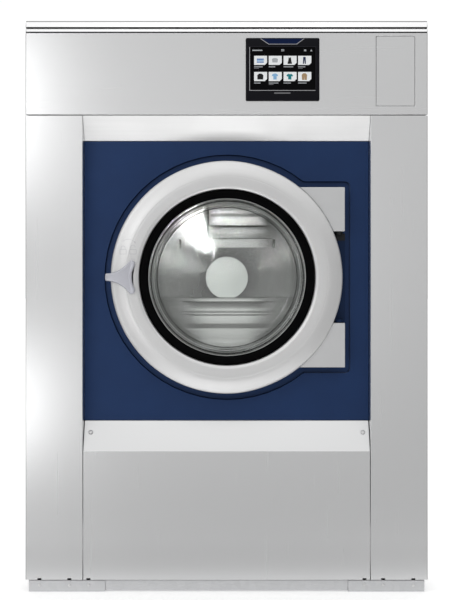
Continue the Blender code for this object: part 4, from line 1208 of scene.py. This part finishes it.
# ------------------------------------------------------------------ coil springs of the tub
def coil(name, x, y, z0, z1, radius, wire, turns, replaces):
    """Closed coil with its end turns laid flat."""
    loops, steps, sides = [], int(turns * 28), 10
    for k in range(steps + 1):
        t = k / steps
        a = 2 * math.pi * turns * t
        flat = 0.5 / turns * 1.6
        lift = max(0.0, min(1.0, (t - flat) / (1 - 2 * flat)))
        z = z0 + wire + (z1 - z0 - 2 * wire) * (0.03 * min(1.0, t / flat) + 0.94 * lift
                                                + 0.03 * max(0.0, (t - 1 + flat) / flat))
        cx, cy = x + radius * math.cos(a), y + radius * math.sin(a)
        loops.append([(cx + wire * math.cos(b) * math.cos(a), cy + wire * math.cos(b) * math.sin(a),
                       z + wire * math.sin(b))
                      for b in (2 * math.pi * q / sides for q in range(sides))])
    ob = finish_mesh(name, loops_bm(loops), None, DARK_STEEL, 60.0, replaces)
    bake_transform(ob)


for end, y in (("front", -0.25), ("rear", 0.20)):
    for side, sx in (("left", -1), ("right", 1)):
        coil("coil_%s_%s" % (end, side), sx * 0.4050, y, 0.0053, 0.3447, 0.0405, 0.0042, 9.0,
             "spring_%s_%s" % (end, side))

# ------------------------------------------------------------------ drum
back = [(0, DRUM_BACK_Y), (0.3010, DRUM_BACK_Y), (0.3050, DRUM_BACK_Y + 0.0008),
        (0.3160, DRUM_BACK_Y + 0.0008), (0.3200, DRUM_BACK_Y), (0.3915, DRUM_BACK_Y),
        (0.3915, 0.2620), (0, 0.2620)]
lathe("drum_back_detail", soften(back, [0, 0.001, 0.001, 0.001, 0.001, 0.0004, 0.0004, 0], 3), 160,
      "drum", DRUM_BACK_STEEL, angle=30.0, replaces="drum_back")


def pressed_plate(name, profile, edge, middle, fade, flat, thick, look, replaces=None):
    """Thin ribbed plate on the drum's back. profile is (y, z) seen from the side, edge gives its
    half width at a height, and the ribs fade into a flat at depth flat between the distances
    fade from the middle (a second pair of distances is for the left end)."""
    bm = bmesh.new()
    front, rear = [], []
    for k in range(-30, 31):
        cols = [[], []]
        for i, (y, z) in enumerate(profile):
            x = middle + edge(z) * math.sin(math.pi / 2 * k / 30)
            lo, hi = fade[2:] if x < middle and len(fade) > 2 else fade[:2]
            f = max(0.0, min(1.0, (abs(x - middle) - lo) / (hi - lo)))
            f = 1 - f * f * (3 - 2 * f)
            if not (i == 0 and y > flat + 0.005):
                y = flat + (y - flat) * f
            cols[0].append(bm.verts.new((DOOR_X + x, y, DOOR_Z + z)))
            low = 0.0008 if i == 0 and thick < 0.01 else 0.0
            cols[1].append(bm.verts.new((DOOR_X + x, min(y + thick, DRUM_BACK_Y + 0.0002),
                                         DOOR_Z + z - low)))
        front.append(cols[0])
        rear.append(cols[1])
    n = len(profile) - 1
    for grid in (front, rear):
        for a, b in zip(grid, grid[1:]):
            for i in range(n):
                bm.faces.new((a[i], a[i + 1], b[i + 1], b[i]))
    for a, b, c, d in zip(front, front[1:], rear, rear[1:]):
        for i in (0, n):
            bm.faces.new((a[i], b[i], d[i], c[i]))
    for k in (0, len(front) - 1):
        for i in range(n):
            bm.faces.new((front[k][i], front[k][i + 1], rear[k][i + 1], rear[k][i]))
    return finish_mesh(name, bm, "drum", look, 50.0, replaces)


low_ribs = [(0.2550, -0.0606), (0.2344, -0.0608), (0.2337, -0.0690), (0.2337, -0.0735),
            (0.2349, -0.0748), (0.2361, -0.0940), (0.2357, -0.0960), (0.2357, -0.1047),
            (0.2364, -0.1056), (0.2357, -0.1068), (0.2357, -0.1138), (0.2364, -0.1149),
            (0.2357, -0.1164), (0.2355, -0.1410), (0.2362, -0.1560), (0.2356, -0.1600),
            (0.2345, -0.1900), (0.2325, -0.2200), (0.2410, -0.2985)]
pressed_plate("drum_baffle_detail", soften(low_ribs, 0.0009, 3, closed=False),
              lambda z: math.sqrt(0.2995 ** 2 - z * z), 0.0, (0.080, 0.155), 0.2360, 0.0012,
              RIBBED, "drum_baffle")
hub_prof = [(0, 0.2370), (0.0640, 0.2370), (0.0647, 0.23702), (0.0650, 0.2374), (0.0650, 0.2557),
            (0, 0.2557)]
hub = lathe("hub_detail", hub_prof, 96, "drum", HUB_PLASTIC, angle=25.0, replaces="hub_cover")
carve(hub, [box_bm(-0.1, 0.1, 0.20, 0.27, DOOR_Z - 0.12, DOOR_Z - 0.0608 + 0.0004)])

# pressed ribs above the hub
high_ribs = [(0.25595, 0.0935), (0.2557, 0.0960), (0.2557, 0.1190), (0.2553, 0.1208),
             (0.2557, 0.1226), (0.2557, 0.1370), (0.2551, 0.1490), (0.2550, 0.1570),
             (0.2556, 0.1625), (0.2552, 0.1650), (0.2545, 0.1705), (0.2521, 0.1885),
             (0.2519, 0.1990), (0.2507, 0.2090), (0.2502, 0.2200), (0.2488, 0.2430),
             (0.25595, 0.2480)]
pressed_plate("drum_upper_ribs", soften(high_ribs, 0.0012, 3, closed=False), lambda z: 0.106,
              0.046, (0.070, 0.1058, 0.1022, 0.1059), 0.25595, 0.02, RIBBED_HIGH)

for n, (x, z) in enumerate(((-0.145, 0.105), (0.145, 0.105))):
    lug = rounded_rect(DOOR_X + x - 0.0038, DOOR_X + x + 0.0038, DOOR_Z + z - 0.0140,
                       DOOR_Z + z + 0.0140, 0.0030)
    lug2 = rounded_rect(DOOR_X + x - 0.0032, DOOR_X + x + 0.0032, DOOR_Z + z - 0.0134,
                        DOOR_Z + z + 0.0134, 0.0026)
    lean = -0.08 if x > 0 else 0.08
    bm = loops_bm([[(a, 0.2562, b) for a, b in lug],
                   [(a, 0.2545 + lean * (a - DOOR_X - x), b) for a, b in lug],
                   [(a, 0.2541 + lean * (a - DOOR_X - x), b) for a, b in lug2]])
    finish_mesh("drum_lug_%d" % n, bm, "drum", HUB_PLASTIC, 50.0)

for n in (1, 2, 3):
    node = "lifter_%d" % n
    if node in frame["nodes"]:
        polish(node, "drum", POLISHED, 0.0020, 3)

# ------------------------------------------------------------------ floor, light, world
me = bpy.data.meshes.new("floor")
me.from_pydata([(-60, -60, 0), (60, -60, 0), (60, 60, 0), (-60, 60, 0)], [], [(0, 1, 2, 3)])
floor = bpy.data.objects.new("floor", me)
bpy.context.scene.collection.objects.link(floor)
fl = Look("studio_floor", (0.90, 0.90, 0.90), 0.75)
fl.b.inputs["Specular IOR Level"].default_value = 0.15
# painted light and shade on pale paper: brightest under and behind the machine, where a glow paints over
# its shadow, and painted darker in front and far out
fs = fl.node("ShaderNodeSeparateXYZ")
fl.link(fl.where, fs.inputs[0])
near = fl.math("ADD", fs.outputs["Y"], fl.math("MULTIPLY", fl.noise(0.6, 2.0, 0.5), 0.1))
wide = fl.math("SUBTRACT", fl.math("ABSOLUTE", fs.outputs["X"]),
               fl.math("MULTIPLY", fl.math("MAXIMUM", fs.outputs["Y"], 0.0), 0.155))


def fade(value, lo, hi, a, b):
    """span with soft ends"""
    out = fl.span(value, lo, hi, a, b)
    out.node.interpolation_type = "SMOOTHSTEP"
    return out


painted_light_pool = fade(wide, 1.0, 0.0, 0.70, 1.6)
front = fl.math("ADD", fade(near, 0.0, 0.2, -2.4, -0.85), fade(near, 0.0, 0.8, -0.93, -0.60))
fl.tint(fl.math("MULTIPLY", front, fl.math("ADD", fl.math("MULTIPLY", painted_light_pool, 0.4), 0.6)),
        (0.53, 0.53, 0.53), (0.92, 0.92, 0.92), 0.0, 1.0)
# painted light: the floor glows near and under the machine, over its shadow
fl.b.inputs["Emission Color"].default_value = (1.0, 1.0, 1.0, 1.0)
glow = fl.math("ADD", fade(near, 0.0, 0.30, -0.74, -0.59), fade(near, 0.0, 0.08, -0.58, -0.30))
fl.link(fl.math("MULTIPLY", glow, painted_light_pool), fl.b.inputs["Emission Strength"])
me.materials.append(fl.m)
floor.location.z = -0.0002


def area(name, at, towards, size, watts, spread=180.0, colour=(1, 1, 1)):
    d = bpy.data.lights.new(name, "AREA")
    d.shape = "RECTANGLE"
    d.size, d.size_y = size
    d.energy, d.color = watts, colour
    d.spread = math.radians(spread)
    ob = bpy.data.objects.new(name, d)
    bpy.context.scene.collection.objects.link(ob)
    ob.location = at
    ob.rotation_euler = (Vector(towards) - Vector(at)).to_track_quat("-Z", "Y").to_euler()
    ob.visible_camera = False
    return ob


LIGHTS = (
    # name, place, aimed at, size, watts, spread
    ("key_upper_left", (-1.17, -2.05, 1.42), (-0.41, -0.55, 1.15), (0.92, 0.55), 0.66, 70.0),
    ("key_lower_left", (-1.06, -2.05, 0.345), (-0.41, -0.55, 0.46), (0.80, 0.32), 0.57, 100.0),
    ("over_front", (0.0, -2.3, 3.0), (0.0, -1.0, 0.4), (3.0, 1.6), 0.05, 180.0),
    ("ring_top", (0.0, -1.75, 2.45), (0.0, -0.56, 1.07), (0.90, 0.30), 0.03, 26.0),
    ("low_fill", (0.0, -1.09, 0.02), (0.0, -1.00, 1.00), (1.10, 0.35), 1.5, 110.0),
    ("wedge", (0.438, -3.40, 0.090), (-0.098, 0.25, 0.950), (0.16, 0.10), 0.029, 4.5),
    ("wedge_soft", (0.752, -3.40, 0.526), (-0.150, 0.25, 0.862), (0.24, 0.24), 0.0075, 6.0),
    ("bands", (-0.01, -3.40, 0.12), (0.0, 0.25, 0.975), (0.44, 0.15), 0.00035, 6.0),
    ("streak", (-0.725, -3.40, 0.46), (0.136, 0.25, 0.863), (0.05, 0.05), 0.0012, 5.0),
    ("window_high", (-0.25, -3.00, 1.75), (0.0, 0.25, 0.75), (0.50, 0.40), 0.001, 20.0),
    ("window_axis", (0.0, -4.70, 0.80), (0.0, 0.25, 0.80), (1.0, 1.0), 0.02, 20.0),
)
for name, at, towards, size, watts, spread in LIGHTS:
    area(name, at, towards, size, watts, spread)

# soft surroundings: brightness behind the machine, overhead, and round the camera
BACK, UP, LEFT, RIGHT, FRONT = 1.02, 1.02, 0.45, 0.35, 0.59
SIDES = 0.60
world = bpy.data.worlds.new("studio")
bpy.context.scene.world = world
world.use_nodes = True
wt = world.node_tree
bg = wt.nodes["Background"]
coord = wt.nodes.new("ShaderNodeTexCoord")
sep = wt.nodes.new("ShaderNodeSeparateXYZ")
wt.links.new(coord.outputs["Generated"], sep.inputs[0])


def wmath(op, a, b=None):
    n = wt.nodes.new("ShaderNodeMath")
    n.operation = op
    for i, v in enumerate((a, b)):
        if v is None:
            continue
        if isinstance(v, (int, float)):
            n.inputs[i].default_value = v
        else:
            wt.links.new(v, n.inputs[i])
    return n.outputs[0]


def wspan(v, a, b, lo, hi):
    n = wt.nodes.new("ShaderNodeMapRange")
    n.interpolation_type = "SMOOTHSTEP"
    for k, x in (("From Min", a), ("From Max", b)):
        n.inputs[k].default_value = x
    for k, x in (("To Min", lo), ("To Max", hi)):
        if isinstance(x, (int, float)):
            n.inputs[k].default_value = x
        else:
            wt.links.new(x, n.inputs[k])
    wt.links.new(v, n.inputs["Value"])
    return n.outputs["Result"]


level = wspan(sep.outputs["X"], 0.15, 0.90, FRONT, RIGHT)
level = wspan(sep.outputs["X"], -0.15, -0.90, level, LEFT)
level = wspan(sep.outputs["Z"], 0.15, 0.70, level, UP)
across = wmath("ABSOLUTE", sep.outputs["X"])
behind = wspan(across, 0.22, 0.60, BACK, SIDES)
level = wspan(sep.outputs["Y"], -0.30, 0.55, level, behind)
comb = wt.nodes.new("ShaderNodeCombineColor")
for k in ("Red", "Green", "Blue"):
    wt.links.new(level, comb.inputs[k])
wt.links.new(comb.outputs[0], bg.inputs["Color"])
bg.inputs["Strength"].default_value = 1.0
